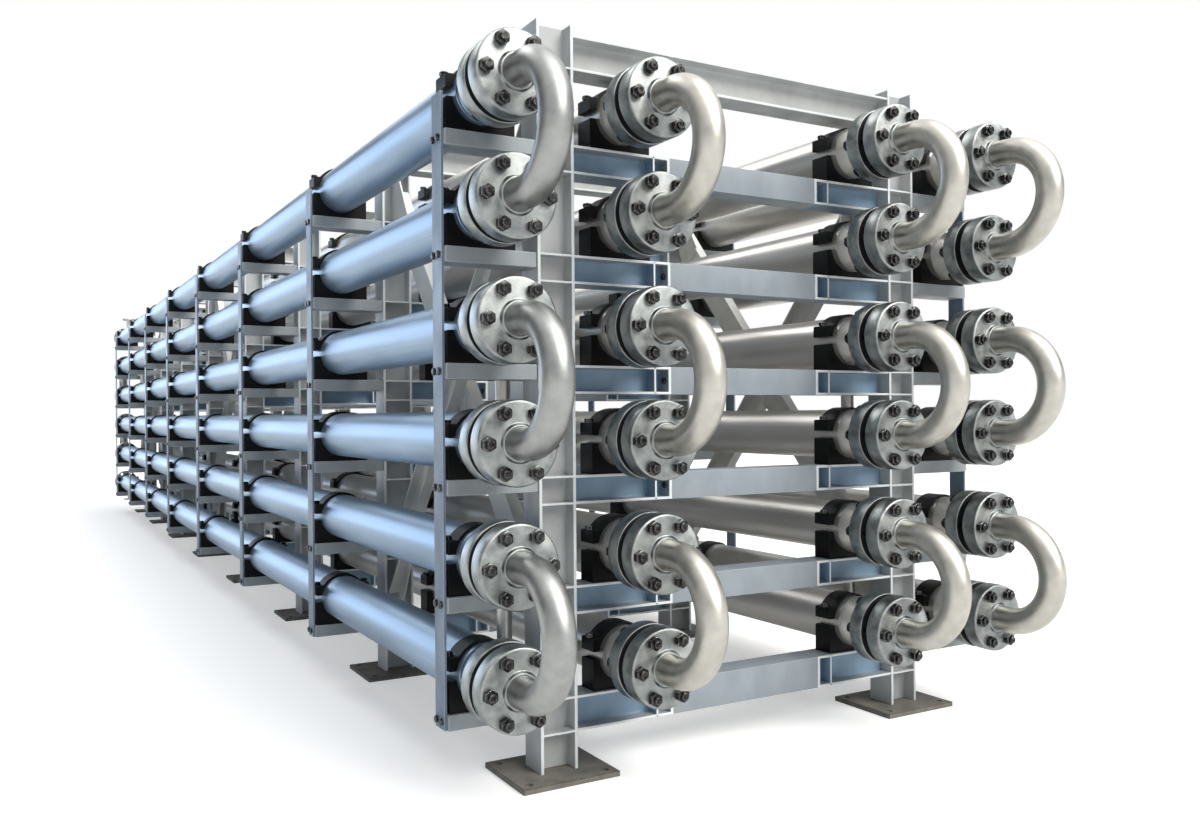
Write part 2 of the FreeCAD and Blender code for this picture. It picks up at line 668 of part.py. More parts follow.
def nozzle(up):
    """A flanged branch on the top or bottom of a shell at y = 0."""
    face = V(0, 0, up * (SHELL_R + NOZZLE_HEIGHT))
    back = V(0, 0, up * (SHELL_R + NOZZLE_HEIGHT - NOZZLE_FLANGE_THICK))
    root = V(0, 0, up * (SHELL_R - CROSSOVER_R))
    body = rod(CROSSOVER_R, root, face).fuse(rod(NOZZLE_FLANGE_R, back, face))
    body = body.cut(rod(CROSSOVER_BORE_R, root, face))
    body = body.cut(rod(SHELL_R, V(0, -PITCH, 0), V(0, PITCH, 0)))
    for x, y in circle_points(NOZZLE_PCD, NOZZLE_HOLES, NOZZLE_FIRST_DEG):
        body = body.cut(rod(NOZZLE_HOLE_R, V(x, y, back.z), V(x, y, face.z)))
    return body.removeSplitter()


# Assembly.

def both_sides(shape):
    """A right-hand piece and its mirror image."""
    return [shape, mirrored_x(shape)]


def toward_post(shape, x):
    """Turn a piece's +X side towards the post that its column stands at."""
    post_x = math.copysign(POST_X, x)
    return shape if x < post_x else mirrored_x(shape)


def write_elements():
    """Shells, inner tubes and their flanges."""
    tubes = []
    product_flanges = []
    port = flange(PORT_BORE_R, PORT_HOLE_R, False, True)
    for row in range(1, ROWS + 1):
        body = shell(row)
        tube = inner_tube(row)
        for column, x in enumerate(COLUMN_X, 1):
            save("shell_c%d_r%d" % (column, row), [moved(toward_post(body, x), x, 0, row_z(row))])
            tubes.append(moved(tube, x, 0, row_z(row)))
            if row in (1, ROWS):
                product_flanges.append(moved(port, x, END_Y + PORT_START, row_z(row)))
    save("inner_tubes", tubes)
    save("product_flanges", product_flanges)


def joint_places():
    """Every flange joint: (x, row, near). Rows 1 and 6 are open at the far end."""
    places = []
    for x in COLUMN_X:
        for row in range(1, ROWS + 1):
            places.append((x, row, True))
            if 1 < row < ROWS:
                places.append((x, row, False))
    return places


def write_joints():
    """Flanges, lens rings, studs and nuts at the ends of the elements."""
    flanges, rings, studs, nuts = [], [], [], []
    bore = TUBE_R + WELD_CLEARANCE
    tube_side = moved(half_turn(flange(bore, STUD_HOLE_R, False, True)), 0, -FLANGE_START, 0)
    bend_side = moved(half_turn(flange(bore, STUD_HOLE_R, True, False)), 0, -LENS_END, 0)
    seal = moved(lens_ring(), 0, -LENS_END, 0)
    kits = [(flanges, [tube_side, bend_side]), (rings, [seal]), (studs, joint_studs()), (nuts, joint_nuts())]
    for x, row, near in joint_places():
        for target, pieces in kits:
            for piece in pieces:
                turned_piece = piece if near else half_turn(piece)
                target.append(moved(turned_piece, x, -END_Y if near else END_Y, row_z(row)))
    save("pipe_flanges", flanges)
    save("lens_rings", rings)
    save("flange_studs", studs)
    save("flange_nuts", nuts)


def write_bends():
    """Return bends: rows 1-2, 3-4 and 5-6 at the near end, 2-3 and 4-5 at the far end."""
    bend = return_bend()
    far_bend = half_turn(bend)
    for column, x in enumerate(COLUMN_X, 1):
        for row in range(1, ROWS):
            z = (row_z(row) + row_z(row + 1)) / 2
            if row % 2 == 1:
                save("near_bend_c%d_r%d%d" % (column, row, row + 1), [moved(bend, x, -END_Y, z)])
            else:
                save("far_bend_c%d_r%d%d" % (column, row, row + 1), [moved(far_bend, x, END_Y, z)])


def write_clamps():
    """A two-part clamp at each tube and frame."""
    lower, upper, bolts = [], [], []
    saddle, strap, bolt = lower_clamp(), upper_clamp(), clamp_bolt()
    for y in FRAME_Y:
        for x in COLUMN_X:
            for row in range(1, ROWS + 1):
                z = row_z(row)
                lower.append(moved(saddle, x, y, z))
                upper.append(moved(strap, x, y, z))
                bolts.append(moved(bolt, x - CLAMP_BOLT_X, y, z))
                bolts.append(moved(bolt, x + CLAMP_BOLT_X, y, z))
    save("lower_clamps", lower)
    save("upper_clamps", upper)
    save("clamp_bolts", bolts)


def write_frames():
    """Posts, base plates, beams, uprights and their bolts."""
    rows = range(1, ROWS + 1)
    column = moved(post(), POST_X)
    foot = moved(base_plate(), POST_X)
    post_face = POST_X - POST_DEPTH_X / 2
    top_tie = i_section(-post_face, post_face, TOP_TIE_TOP, END_BEAM_DEPTH).removeSplitter()
    arms = [s for row in rows for s in both_sides(inner_arm(row)) + both_sides(outer_arm(row))]
    kits = {
        "posts": both_sides(column),
        "base_plates": both_sides(foot),
        "cross_beams": arms + [tie(row) for row in rows] + [top_tie],
        "outer_uprights": both_sides(upright()),
        "frame_bolts": [s for bolt in frame_bolts() for s in both_sides(bolt)],
    }
    for name, pieces in kits.items():
        save(name, [moved(piece, 0, y, 0) for y in FRAME_Y for piece in pieces])


def write_braces():
    """Crossed channels and their gussets between the posts of the braced bays."""
    pieces = [brace(True), brace(False)] + gussets()
    braces = []
    for bay in BRACED_BAYS:
        for x in (-POST_X, POST_X):
            braces += [moved(piece, x, FRAME_Y[bay], 0) for piece in pieces]
    save("braces", braces)


def write_shell_pipes():
    """Crossovers between shells, and the open nozzles of the top and bottom rows."""
    link = crossover()
    up, down = nozzle(1), nozzle(-1)
    pieces = []
    for x in COLUMN_X:
        for row in range(1, ROWS):
            y = -END_Y + CROSSOVER_Y if row % 2 == 1 else END_Y - CROSSOVER_Y
            pieces.append(moved(toward_post(link, x), x, y, row_z(row)))
        pieces.append(moved(up, x, END_Y - NOZZLE_Y, row_z(1)))
        pieces.append(moved(down, x, END_Y - NOZZLE_Y, row_z(ROWS)))
    save("shell_pipes", pieces)


os.makedirs("parts", exist_ok=True)
write_elements()
write_joints()
write_bends()
write_clamps()
write_frames()
write_braces()
write_shell_pipes()
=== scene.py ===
"""Looks of a tubular heat exchanger: satin steel double pipes in a painted rack.

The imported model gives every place. Most visible pieces are rebuilt around it as surfaces
worked out with numpy: turned profiles for pipes and flanges, sections carried along a
line for steelwork, and a tube carried round a U for the return bends. The braces, base
plates and inner tubes keep the model's own meshes and get a finish.
Metres. +Y runs along the pipes away from the near end, +Z is up.
"""
import math

import bmesh
import bpy
import numpy as np
from mathutils import Matrix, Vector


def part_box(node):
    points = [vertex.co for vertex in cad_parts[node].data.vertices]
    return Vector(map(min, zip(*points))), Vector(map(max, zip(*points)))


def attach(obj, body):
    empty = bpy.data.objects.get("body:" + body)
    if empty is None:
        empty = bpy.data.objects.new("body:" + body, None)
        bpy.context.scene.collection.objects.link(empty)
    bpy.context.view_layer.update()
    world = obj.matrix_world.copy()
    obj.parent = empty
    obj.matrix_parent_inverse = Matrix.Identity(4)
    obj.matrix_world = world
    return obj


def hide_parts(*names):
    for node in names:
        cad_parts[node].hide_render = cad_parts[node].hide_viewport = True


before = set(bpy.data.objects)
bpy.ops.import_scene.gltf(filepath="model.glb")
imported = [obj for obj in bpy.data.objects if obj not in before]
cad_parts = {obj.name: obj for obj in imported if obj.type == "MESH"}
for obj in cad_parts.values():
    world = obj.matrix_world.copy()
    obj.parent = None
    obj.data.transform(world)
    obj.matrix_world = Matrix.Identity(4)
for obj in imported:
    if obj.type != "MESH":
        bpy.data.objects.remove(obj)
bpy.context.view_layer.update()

# Rack layout: how many there are, and the places that the frame gives.
ROWS = 6
COLUMNS = 4
FRAMES = 8


def node_middle(name):
    """Centre of a node's box."""
    low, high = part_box(name)
    return (np.array(low) + np.array(high)) / 2


COLUMN_X = [float(node_middle(f"shell_c{c}_r1")[0]) for c in range(1, COLUMNS + 1)]
ROW_Z = [float(node_middle(f"shell_c1_r{r}")[2]) for r in range(1, ROWS + 1)]
PITCH = ROW_Z[0] - ROW_Z[1]
POST_X = (COLUMN_X[2] + COLUMN_X[3]) / 2

# Double pipes.
SHELL_R = 0.10955
TUBE_R = 0.05715
MESH_SHORTFALL = 0.00005         # how far a meshed circle of the solids lies inside the true one
TUBE_BORE_R = 0.049
CONE_START = 0.078               # from the end frame
CONE_END = 0.166
CONE_R = 0.078
CONE_CHAMFER = 0.004             # outer edge of a shell's end ring
WELD_BEAD = 0.0022
WELD_HALF_WIDTH = 0.006

END_Y = float(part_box("shell_c1_r1")[1][1]) - CONE_END
FRAME_Y = np.linspace(-END_Y, END_Y, FRAMES)

# Joint at the end of an element, measured outwards from the end frame.
FLANGE_START = 0.181
FLANGE_THICK = 0.072
LENS_GAP = 0.032
FLANGE_R = 0.150
FLANGE_PCD = 0.235
FLANGE_HOLES = 6
FLANGE_EDGE_R = 0.010
GAP_RIM = 0.004                  # rounding of the rims that face the gap
BORE_CORNER = 0.002
COLLAR_CORNER = 0.003
COLLAR_R = 0.070
COLLAR_HEIGHT = 0.012
LENS_R = 0.076
LENS_RELIEF = 0.005
STUD_R = 0.015
STUD_TIP = 0.012                 # stud beyond its nut
STUD_POINT = 0.003               # chamfer of the stud's end
NUT_FLATS = 0.046
NUT_HEIGHT = 0.024
BEND_TANGENT = 0.073
FLANGE_FACE = FLANGE_START + FLANGE_THICK
LENS_END = FLANGE_FACE + LENS_GAP
BEND_FLANGE_FACE = LENS_END + FLANGE_THICK
BEND_CENTRE = BEND_FLANGE_FACE + BEND_TANGENT

# Clamps.
CLAMP_HALF_X = 0.136
CLAMP_LENGTH_Y = 0.096
CLAMP_GAP = 0.032
CLAMP_BORE_R = 0.10995
SEAT_DROP = 0.135
STRAP_R = 0.121
EAR_TOP = 0.066
CLAMP_BOLT_X = 0.123
CLAMP_BOLT_FLATS = 0.030
CLAMP_BOLT_HEAD = 0.015
CLAMP_ROUND = 0.006              # edges that run along Y
CLAMP_EDGE_R = 0.002             # edges of the two faces

# Steelwork.
POST_DEPTH_X = 0.156
POST_WIDTH_Y = 0.136
POST_FLANGE = 0.012
POST_WEB = 0.008
POST_TOP = float(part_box("posts")[1][2])
BASE_THICK = 0.020
STIFFENER = 0.008
BEAM_WIDTH_Y = 0.130
BEAM_DEPTH = 0.110
END_BEAM_DEPTH = 0.136
BEAM_FLANGE = 0.010
BEAM_WEB = 0.007
END_PLATE = 0.012
TIE_HALF_X = 0.382
ARM_REACH = 0.446
OUTER_ARM_DEPTH = 0.058
OUTER_ARM_WIDTH_Y = 0.120
TOP_TIE_TOP = ROW_Z[0] + PITCH - SEAT_DROP
POST_ROOT = 0.010                # weld fillet between a post's web and flange
BEAM_ROOT = 0.009
STIFFENER_CLIP = 0.016           # corner cut off a stiffener, clear of the post's fillet
OUTER_ARM_ROUND = 0.005
EDGE_R = 0.0015                  # broken edge of cut plate
DRAWN_IN = 0.6                   # how far a bar's ends are drawn in, as a share of its edge
SHARP_CORNER = 0.001             # corner that is hidden or cut sharp
UPRIGHT_WIDTH_Y = 0.090
UPRIGHT_THICK = 0.010
UPRIGHT_BOLT_Y = 0.024
TIE_BOLT_Y = 0.036
FRAME_BOLT_FLATS = 0.024
FRAME_BOLT_HEAD = 0.010

# Shell-side piping.
CROSSOVER_R = 0.03015
CROSSOVER_Y = 0.165
CROSSOVER_REACH = 0.068
CROSSOVER_BEND_R = 0.050
CROSSOVER_LEAD = 0.002           # straight pipe just before a crossover's bend
BRANCH_START = 0.9 * SHELL_R     # a branch's hidden end, inside the shell
NOZZLE_Y = 0.200
NOZZLE_HEIGHT = 0.130
NOZZLE_FLANGE_R = 0.0825
NOZZLE_FLANGE_THICK = 0.018
NOZZLE_BORE_R = 0.02615
NOZZLE_FILLET = 0.004            # between a nozzle's neck and its flange
NOZZLE_CORNER = 0.002

# Camera: where the photograph was taken from, and its lens.
CAMERA_PLACE = (-2.696, -9.925, 1.368)
CAMERA_YAW_DEG = 29.85
CAMERA_ROLL = -0.007
CAMERA_LENS = 30.93
CAMERA_SENSOR = 36.0
CAMERA_SHIFT_Y = -0.00125
CAMERA_REACH = 500.0

# Studio. What metal mirrors goes dim from the first to the second value along DIM_SIDE.
DIM_SIDE = (-0.71, 0.71, 0.0)    # the direction in which the studio is dimmest, to the left
DIM_FROM, DIM_TO = 0.55, 0.92
DIM_LEVEL = 0.12
SOFT_LEVEL = 0.35                # the even light on everything else
FLOOR_HALF = 400.0               # half the floor's side
FLOOR_GLOW = 0.38                # lifts the floor to white where the camera sees it
FLOOR_GLOW_MIRRORED = 0.08

# Faces round a turned piece or pipe, rings along a return bend, and points along arcs.
SHELL_AROUND = 72
FLANGE_AROUND = 64
BEND_AROUND = 56
NOZZLE_AROUND = 48
LENS_AROUND = 40
CROSSOVER_AROUND = 32
STUD_AROUND = 14
NUT_AROUND = 12
LEG_RINGS = 7
TURN_RINGS = 49
SEAT_POINTS = 17
ARCH_POINTS = 13
QUARTER_POINTS = 9

SMOOTH_DEG = 40.0                # faces that meet at less than this shade as one surface
TINY = 1e-9


# Surfaces. A shape is (points, list of face tables), each table with faces of one size.

def skin(rings, looped=False):
    """A stack of closed rings as a closed surface.

    rings[k, i] is point i of ring k. Each face joins points i and i + 1 of rings k and
    k + 1. The first and last rings are capped, or joined to each other if looped."""
    count, around = rings.shape[:2]
    index = np.arange(count * around).reshape(count, around)
    low = index if looped else index[:-1]
    high = np.roll(index, -1, axis=0) if looped else index[1:]
    quads = np.stack([low, np.roll(low, -1, axis=1), np.roll(high, -1, axis=1), high], axis=-1)
    tables = [quads.reshape(-1, 4)]
    if not looped:
        tables.append(np.stack([index[0, ::-1], index[-1]]))
    return rings.reshape(-1, 3), tables


def joined(shapes):
    """Several shapes as one."""
    points, tables, start = [], [], 0
    for some_points, some_tables in shapes:
        points.append(some_points)
        tables += [table + start for table in some_tables]
        start += len(some_points)
    return np.concatenate(points), tables


def copies(shape, places):
    """A copy of a shape at every place."""
    points, tables = shape
    places = np.asarray(places, float).reshape(-1, 3)
    starts = np.arange(len(places)) * len(points)
    spread = (points[None] + places[:, None]).reshape(-1, 3)
    return spread, [(table[None] + starts[:, None, None]).reshape(-1, table.shape[1]) for table in tables]


def mapped(shape, matrix):
    """A shape with each point multiplied by a 3 by 3 matrix."""
    return shape[0] @ np.asarray(matrix, float).T, shape[1]


HALF_TURN = np.diag([-1.0, -1.0, 1.0])
MIRROR_X = np.diag([-1.0, 1.0, 1.0])
ALONG_X = np.array([[0, 1, 0], [1, 0, 0], [0, 0, 1]])      # section across, length along X
ALONG_Z = np.array([[1, 0, 0], [0, 0, 1], [0, 1, 0]])      # section across, length along Z


def rounded(corners, radii, steps=4):
    """An outline with its corners rounded.

    Round a corner C the points are (1 - s)^2 A + 2 s (1 - s) C + s^2 B for s from 0 to 1,
    where A and B lie on the two sides, a radius away from C."""
    corners = np.asarray(corners, float)
    radii = np.broadcast_to(np.asarray(radii, float), len(corners))
    before = np.roll(corners, 1, axis=0) - corners
    after = np.roll(corners, -1, axis=0) - corners
    starts = corners + before / np.linalg.norm(before, axis=1)[:, None] * radii[:, None]
    ends = corners + after / np.linalg.norm(after, axis=1)[:, None] * radii[:, None]
    s = np.linspace(0, 1, steps)[None, :, None]
    arcs = (1 - s) ** 2 * starts[:, None] + 2 * s * (1 - s) * corners[:, None] + s ** 2 * ends[:, None]
    return arcs.reshape(-1, 2)


def inset(outline, distance):
    """An outline moved inwards by a distance, along the mean of the normals of both sides."""
    sides = np.roll(outline, -1, axis=0) - outline
    normals = np.stack([sides[:, 1], -sides[:, 0]], axis=1)
    normals /= np.maximum(np.linalg.norm(normals, axis=1)[:, None], TINY)
    mean = normals + np.roll(normals, 1, axis=0)
    sharpest = 0.2                                         # keeps the tip of a sharp corner near it
    mean /= np.maximum((mean ** 2).sum(axis=1)[:, None] / 2, sharpest)
    x, z = outline.T
    turning = np.sign(np.sum(x * np.roll(z, -1) - np.roll(x, -1) * z))
    return outline - mean * distance * turning


def bar(outline, start, end, edge=EDGE_R):
    """A section carried along Y from start to end, drawn in at both ends by a broken edge.

    The ends are drawn in by less than the tightest radius of the section, so that the
    smaller outline doesn't cross itself."""
    drawn_in = DRAWN_IN * edge
    small = inset(outline, drawn_in)
    stations = ((small, start), (outline, start + drawn_in), (outline, end - drawn_in), (small, end))
    rings = [np.stack([section[:, 0], np.full(len(section), y), section[:, 1]], axis=1)
             for section, y in stations]
    return skin(np.stack(rings))


def plate(x0, x1, y0, y1, z0, z1, edge=EDGE_R):
    """A flat plate or block with broken edges, between two corners."""
    outline = rounded([(x0, z0), (x1, z0), (x1, z1), (x0, z1)], edge, 3)
    return bar(outline, y0, y1, edge)


def lathe(profile, around, looped=True):
    """A profile of (radius, y) turned about the Y axis: x = r cos t, z = r sin t."""
    profile = np.asarray(profile, float)
    angle = np.arange(around) * (2 * math.pi / around)
    x = profile[:, :1] * np.cos(angle)
    z = profile[:, :1] * np.sin(angle)
    y = np.broadcast_to(profile[:, 1:], x.shape)
    return skin(np.stack([x, y, z], axis=-1), looped)


def tube_along(centres, side, radius, around):
    """A round tube along a flat centre line that lies square to the side direction.

    Point i of a ring is its centre plus the radius times
    (cos t times the side direction + sin t times the normal across it)."""
    run = np.gradient(centres, axis=0)
    run /= np.linalg.norm(run, axis=1)[:, None]
    side = np.asarray(side, float)
    across = np.cross(run, side)
    angle = np.arange(around) * (2 * math.pi / around)
    wheel = np.cos(angle)[None, :, None] * side + np.sin(angle)[None, :, None] * across[:, None]
    return skin(centres[:, None] + wheel * radius)


def hexagon_nut(flats, height):
    """A hexagon along Y with its corners cut by a cone at both ends.

    At each angle t the flat lies at f / (2 cos t), t measured from the middle of its side,
    and the cone keeps the end faces inside the circle across the flats."""
    face_share, cone_slope = 0.96, 0.6
    angle = np.arange(NUT_AROUND) * (2 * math.pi / NUT_AROUND)
    from_flat = (angle + math.pi / 6) % (math.pi / 3) - math.pi / 6
    full = flats / 2 / np.cos(from_flat)
    face = np.full(NUT_AROUND, flats / 2 * face_share)
    base = np.zeros(NUT_AROUND)
    chamfer = (full - face) * cone_slope
    levels = [(face, base), (full, chamfer), (full, height - chamfer), (face, base + height)]
    rings = [np.stack([r * np.cos(angle), y, r * np.sin(angle)], axis=1) for r, y in levels]
    return skin(np.stack(rings))


def circle_points(diameter, count):
    """Points evenly spaced on a circle in the XZ plane."""
    angle = np.arange(count) * (2 * math.pi / count)
    return np.stack([np.cos(angle), np.zeros(count), np.sin(angle)], axis=1) * diameter / 2


# Materials.

def colour(code):
    """A linear colour from an sRGB hex code."""
    channels = [int(code[i:i + 2], 16) / 255 for i in (1, 3, 5)]
    linear = [c / 12.92 if c <= 0.04045 else ((c + 0.055) / 1.055) ** 2.4 for c in channels]
    return (*linear, 1.0)


MIX_FACTOR, MIX_FIRST, MIX_SECOND, MIX_RESULT = 0, 6, 7, 2     # sockets of a Mix node for colours


def wire(tree, node, inputs):
    """Give each of a node's inputs a number, an sRGB hex code or another node's output."""
    for socket, value in inputs.items():
        if isinstance(value, bpy.types.NodeSocket):
            tree.links.new(value, node.inputs[socket])
        else:
            node.inputs[socket].default_value = colour(value) if isinstance(value, str) else value


def add(tree, kind, inputs=None, output=0, stops=(), **settings):
    """Add a node with its settings and links, and give back one of its outputs.

    stops gives a colour ramp its places and hex codes."""
    made = tree.nodes.new("ShaderNode" + kind)
    for name, value in settings.items():
        setattr(made, name, value)
    wire(tree, made, inputs or {})
    if stops:
        ramp = made.color_ramp.elements
        for place, _ in stops[1:-1]:
            ramp.new(place)
        for stop, (place, code) in zip(ramp, stops):
            stop.position, stop.color = place, colour(code)
    return made.outputs[output]


def new_material(name):
    """An empty material with its tree, its Principled shader and the place on the object."""
    material = bpy.data.materials.new(name)
    material.use_nodes = True
    tree = material.node_tree
    return material, tree, tree.nodes["Principled BSDF"], add(tree, "TexCoord", output="Object")


def near_edges(tree, radius):
    """1 near an edge and 0 on flat faces: the rounded normal differs from the true one there."""
    soft = add(tree, "Bevel", {"Radius": radius}, samples=4)
    true = add(tree, "NewGeometry", output="Normal")
    facing = add(tree, "VectorMath", {0: soft, 1: true}, "Value", operation="DOT_PRODUCT")
    on_edge, on_flat = 0.82, 0.995                         # cosines between the two normals
    return add(tree, "MapRange", {"Value": facing, "From Min": on_edge, "From Max": on_flat,
                                  "To Min": 1.0, "To Max": 0.0})


# A noise's scale is 1 / the size of its spots in metres. Most of its values lie from LOW to HIGH.
LOW, HIGH = 0.3, 0.7


def drawn_stainless(name, dull, clean, streak):
    """Drawn and pickled stainless pipe. It reads as satin metal with long faint streaks
    and cloudy patches left by the pickling bath."""
    material, tree, shader, place = new_material(name)
    long = add(tree, "Mapping", {"Vector": place, "Scale": (1, 1 / 5, 1)})
    clouds = add(tree, "TexNoise", {"Vector": long, "Scale": 1 / 0.16, "Detail": 4.0})
    drawn = add(tree, "Mapping", {"Vector": place, "Scale": (1, 1 / 220, 1)})
    # The streaks are drawn as coarse as they need to show.
    streaks = add(tree, "TexNoise", {"Vector": drawn, "Scale": 1 / 0.006, "Detail": 3.0})
    tone = add(tree, "ValToRGB", {"Fac": clouds}, stops=((LOW, dull), (HIGH, clean)))
    share = add(tree, "MapRange", {"Value": streaks, "From Min": LOW, "From Max": HIGH, "To Max": 0.22})
    wire(tree, shader, {
        "Base Color": add(tree, "Mix", {MIX_FACTOR: share, MIX_FIRST: tone, MIX_SECOND: streak}, MIX_RESULT,
                          data_type="RGBA"),
        "Metallic": 0.85,                                  # the pickling bath leaves a milky film
        "Roughness": add(tree, "MapRange", {"Value": clouds, "From Min": LOW, "From Max": HIGH,
                                            "To Min": 0.33, "To Max": 0.43}),
        "Normal": add(tree, "Bump", {"Height": streaks, "Distance": 0.0003, "Strength": 0.35})})
    return material


def blasted_stainless(name, dull, clean, grit):
    """Formed stainless bend, bead-blasted. It reads as warm satin grey without streaks,
    with a fine grain and soft blotches."""
    material, tree, shader, place = new_material(name)
    blotches = add(tree, "TexNoise", {"Vector": place, "Scale": 1 / 0.05, "Detail": 4.0})
    # The grain is drawn as coarse as it needs to show.
    grain = add(tree, "TexNoise", {"Vector": place, "Scale": 1 / 0.0022, "Detail": 2.0})
    tone = add(tree, "ValToRGB", {"Fac": blotches}, stops=((LOW, dull), (HIGH, clean)))
    share = add(tree, "MapRange", {"Value": grain, "From Min": LOW, "From Max": HIGH, "To Max": 0.15})
    wire(tree, shader, {
        "Base Color": add(tree, "Mix", {MIX_FACTOR: share, MIX_FIRST: tone, MIX_SECOND: grit}, MIX_RESULT,
                          data_type="RGBA"),
        "Metallic": 1.0,
        "Roughness": add(tree, "MapRange", {"Value": blotches, "From Min": LOW, "From Max": HIGH,
                                            "To Min": 0.38, "To Max": 0.44}),
        "Normal": add(tree, "Bump", {"Height": grain, "Distance": 0.0002, "Strength": 0.3})})
    return material


def turned_flange():
    """Forged steel flange, turned on a lathe and left bright. It reads as light grey metal
    with fine rings about its own axis, two fans of light across them, and duller patches."""
    material, tree, shader, place = new_material("turned flange steel")
    radius = add(tree, "Attribute", output="Fac", attribute_name="turning_radius")
    feed = 0.0016                                          # between two rings, as coarse as shows
    rings = add(tree, "Math", {0: radius, 1: 2 * math.pi / feed}, operation="MULTIPLY")
    ripple = add(tree, "Math", {0: rings}, operation="SINE")
    patches = add(tree, "TexNoise", {"Vector": place, "Scale": 1 / 0.045, "Detail": 5.0})
    wire(tree, shader, {
        "Base Color": add(tree, "ValToRGB", {"Fac": patches}, stops=((LOW, "#828889"), (HIGH, "#b4b8b6"))),
        "Metallic": 1.0,
        "Anisotropic": 0.65,
        "Tangent": add(tree, "Attribute", output="Vector", attribute_name="turning_direction"),
        "Roughness": add(tree, "MapRange", {"Value": patches, "From Min": LOW, "From Max": HIGH,
                                            "To Min": 0.30, "To Max": 0.46}),
        "Normal": add(tree, "Bump", {"Height": ripple, "Distance": 0.00012, "Strength": 0.4})})
    return material


def black_clamp_steel():
    """Cast clamp with thick black paint. It reads as nearly black and satin, with grey
    where handling has worn the edges."""
    material, tree, shader, place = new_material("black clamp paint")
    lumps = add(tree, "TexNoise", {"Vector": place, "Scale": 1 / 0.004, "Detail": 3.0})
    handled = add(tree, "TexNoise", {"Vector": place, "Scale": 1 / 0.02, "Detail": 3.0})
    handled = add(tree, "MapRange", {"Value": handled, "From Min": 0.45, "From Max": 0.7})
    wear = add(tree, "Math", {0: near_edges(tree, 0.004), 1: handled}, operation="MULTIPLY")
    wire(tree, shader, {
        "Base Color": add(tree, "ValToRGB", {"Fac": wear}, stops=((0.0, "#030405"), (1.0, "#2e3135"))),
        "Specular IOR Level": 0.2,
        "Roughness": add(tree, "MapRange", {"Value": lumps, "From Min": LOW, "From Max": HIGH,
                                            "To Min": 0.38, "To Max": 0.55}),
        "Normal": add(tree, "Bump", {"Height": lumps, "Distance": 0.0004, "Strength": 0.4})})
    return material


def oiled_bolt_steel():
    """Blackened and oiled bolting steel. It reads as dark metal with a brownish film of grease,
    and a nearly white painted glint on the corners of nuts."""
    material, tree, shader, place = new_material("oiled bolt steel")
    film = add(tree, "TexNoise", {"Vector": place, "Scale": 1 / 0.012, "Detail": 4.0})
    tone = add(tree, "ValToRGB", {"Fac": film}, stops=((LOW, "#1b1a19"), (HIGH, "#505050")))
    wire(tree, shader, {
        # Near the edges the colour goes nearly white: a painted glint.
        "Base Color": add(tree, "Mix", {MIX_FACTOR: near_edges(tree, 0.002), MIX_FIRST: tone,
                                        MIX_SECOND: "#d5d8d9"}, MIX_RESULT, data_type="RGBA"),
        "Metallic": 1.0,
        "Roughness": add(tree, "MapRange", {"Value": film, "From Min": LOW, "From Max": HIGH,
                                            "To Min": 0.22, "To Max": 0.42}),
        "Normal": add(tree, "Bump", {"Height": film, "Distance": 0.0004, "Strength": 0.3})})
    return material


def greased_face():
    """Sealing faces and lens rings in matte black: painted shade inside the joint's gap."""
    material, tree, shader, place = new_material("sealing face in painted gap shade")
    # The noise only varies the tone and roughness of the painted shade.
    film = add(tree, "TexNoise", {"Vector": place, "Scale": 1 / 0.01, "Detail": 3.0})
    wire(tree, shader, {
        "Base Color": add(tree, "ValToRGB", {"Fac": film}, stops=((LOW, "#07080a"), (HIGH, "#1a1b1d"))),
        "Roughness": add(tree, "MapRange", {"Value": film, "From Min": LOW, "From Max": HIGH,
                                            "To Min": 0.55, "To Max": 0.75})})
    return material


def frame_paint(name, pale, grey, edge):
    """Sprayed alkyd paint on rolled steel. It reads as semi-gloss with a slight orange peel,
    faint clouds of dirt, and edges made paler by a painted highlight."""
    material, tree, shader, place = new_material(name)
    peel = add(tree, "TexNoise", {"Vector": place, "Scale": 1 / 0.003, "Detail": 2.0})
    tall = add(tree, "Mapping", {"Vector": place, "Scale": (1, 1, 1 / 1.6)})
    dirt = add(tree, "TexNoise", {"Vector": tall, "Scale": 1 / 0.12, "Detail": 4.0})
    tone = add(tree, "ValToRGB", {"Fac": dirt}, stops=((0.35, pale), (0.75, grey)))
    wire(tree, shader, {
        # The edge colour mixed in near the edges is a painted highlight.
        "Base Color": add(tree, "Mix", {MIX_FACTOR: near_edges(tree, 0.003), MIX_FIRST: tone,
                                        MIX_SECOND: edge}, MIX_RESULT, data_type="RGBA"),
        "Roughness": add(tree, "MapRange", {"Value": dirt, "From Min": LOW, "From Max": HIGH,
                                            "To Min": 0.34, "To Max": 0.5}),
        "Normal": add(tree, "Bump", {"Height": peel, "Distance": 0.0003, "Strength": 0.25})})
    return material


def floor_plate_paint():
    """Base plate paint, walked on and dusty. It reads as flat brown grey with dark edges."""
    material, tree, shader, place = new_material("dusty base plate")
    dust = add(tree, "TexNoise", {"Vector": place, "Scale": 1 / 0.07, "Detail": 6.0})
    tone = add(tree, "ValToRGB", {"Fac": dust}, stops=((LOW, "#63615b"), (HIGH, "#85817a")))
    wire(tree, shader, {
        "Base Color": add(tree, "Mix", {MIX_FACTOR: near_edges(tree, 0.006), MIX_FIRST: tone,
                                        MIX_SECOND: "#1d1c1a"}, MIX_RESULT, data_type="RGBA"),
        "Roughness": add(tree, "MapRange", {"Value": dust, "From Min": LOW, "From Max": HIGH,
                                            "To Min": 0.6, "To Max": 0.8}),
        "Normal": add(tree, "Bump", {"Height": dust, "Distance": 0.001, "Strength": 0.3})})
    return material
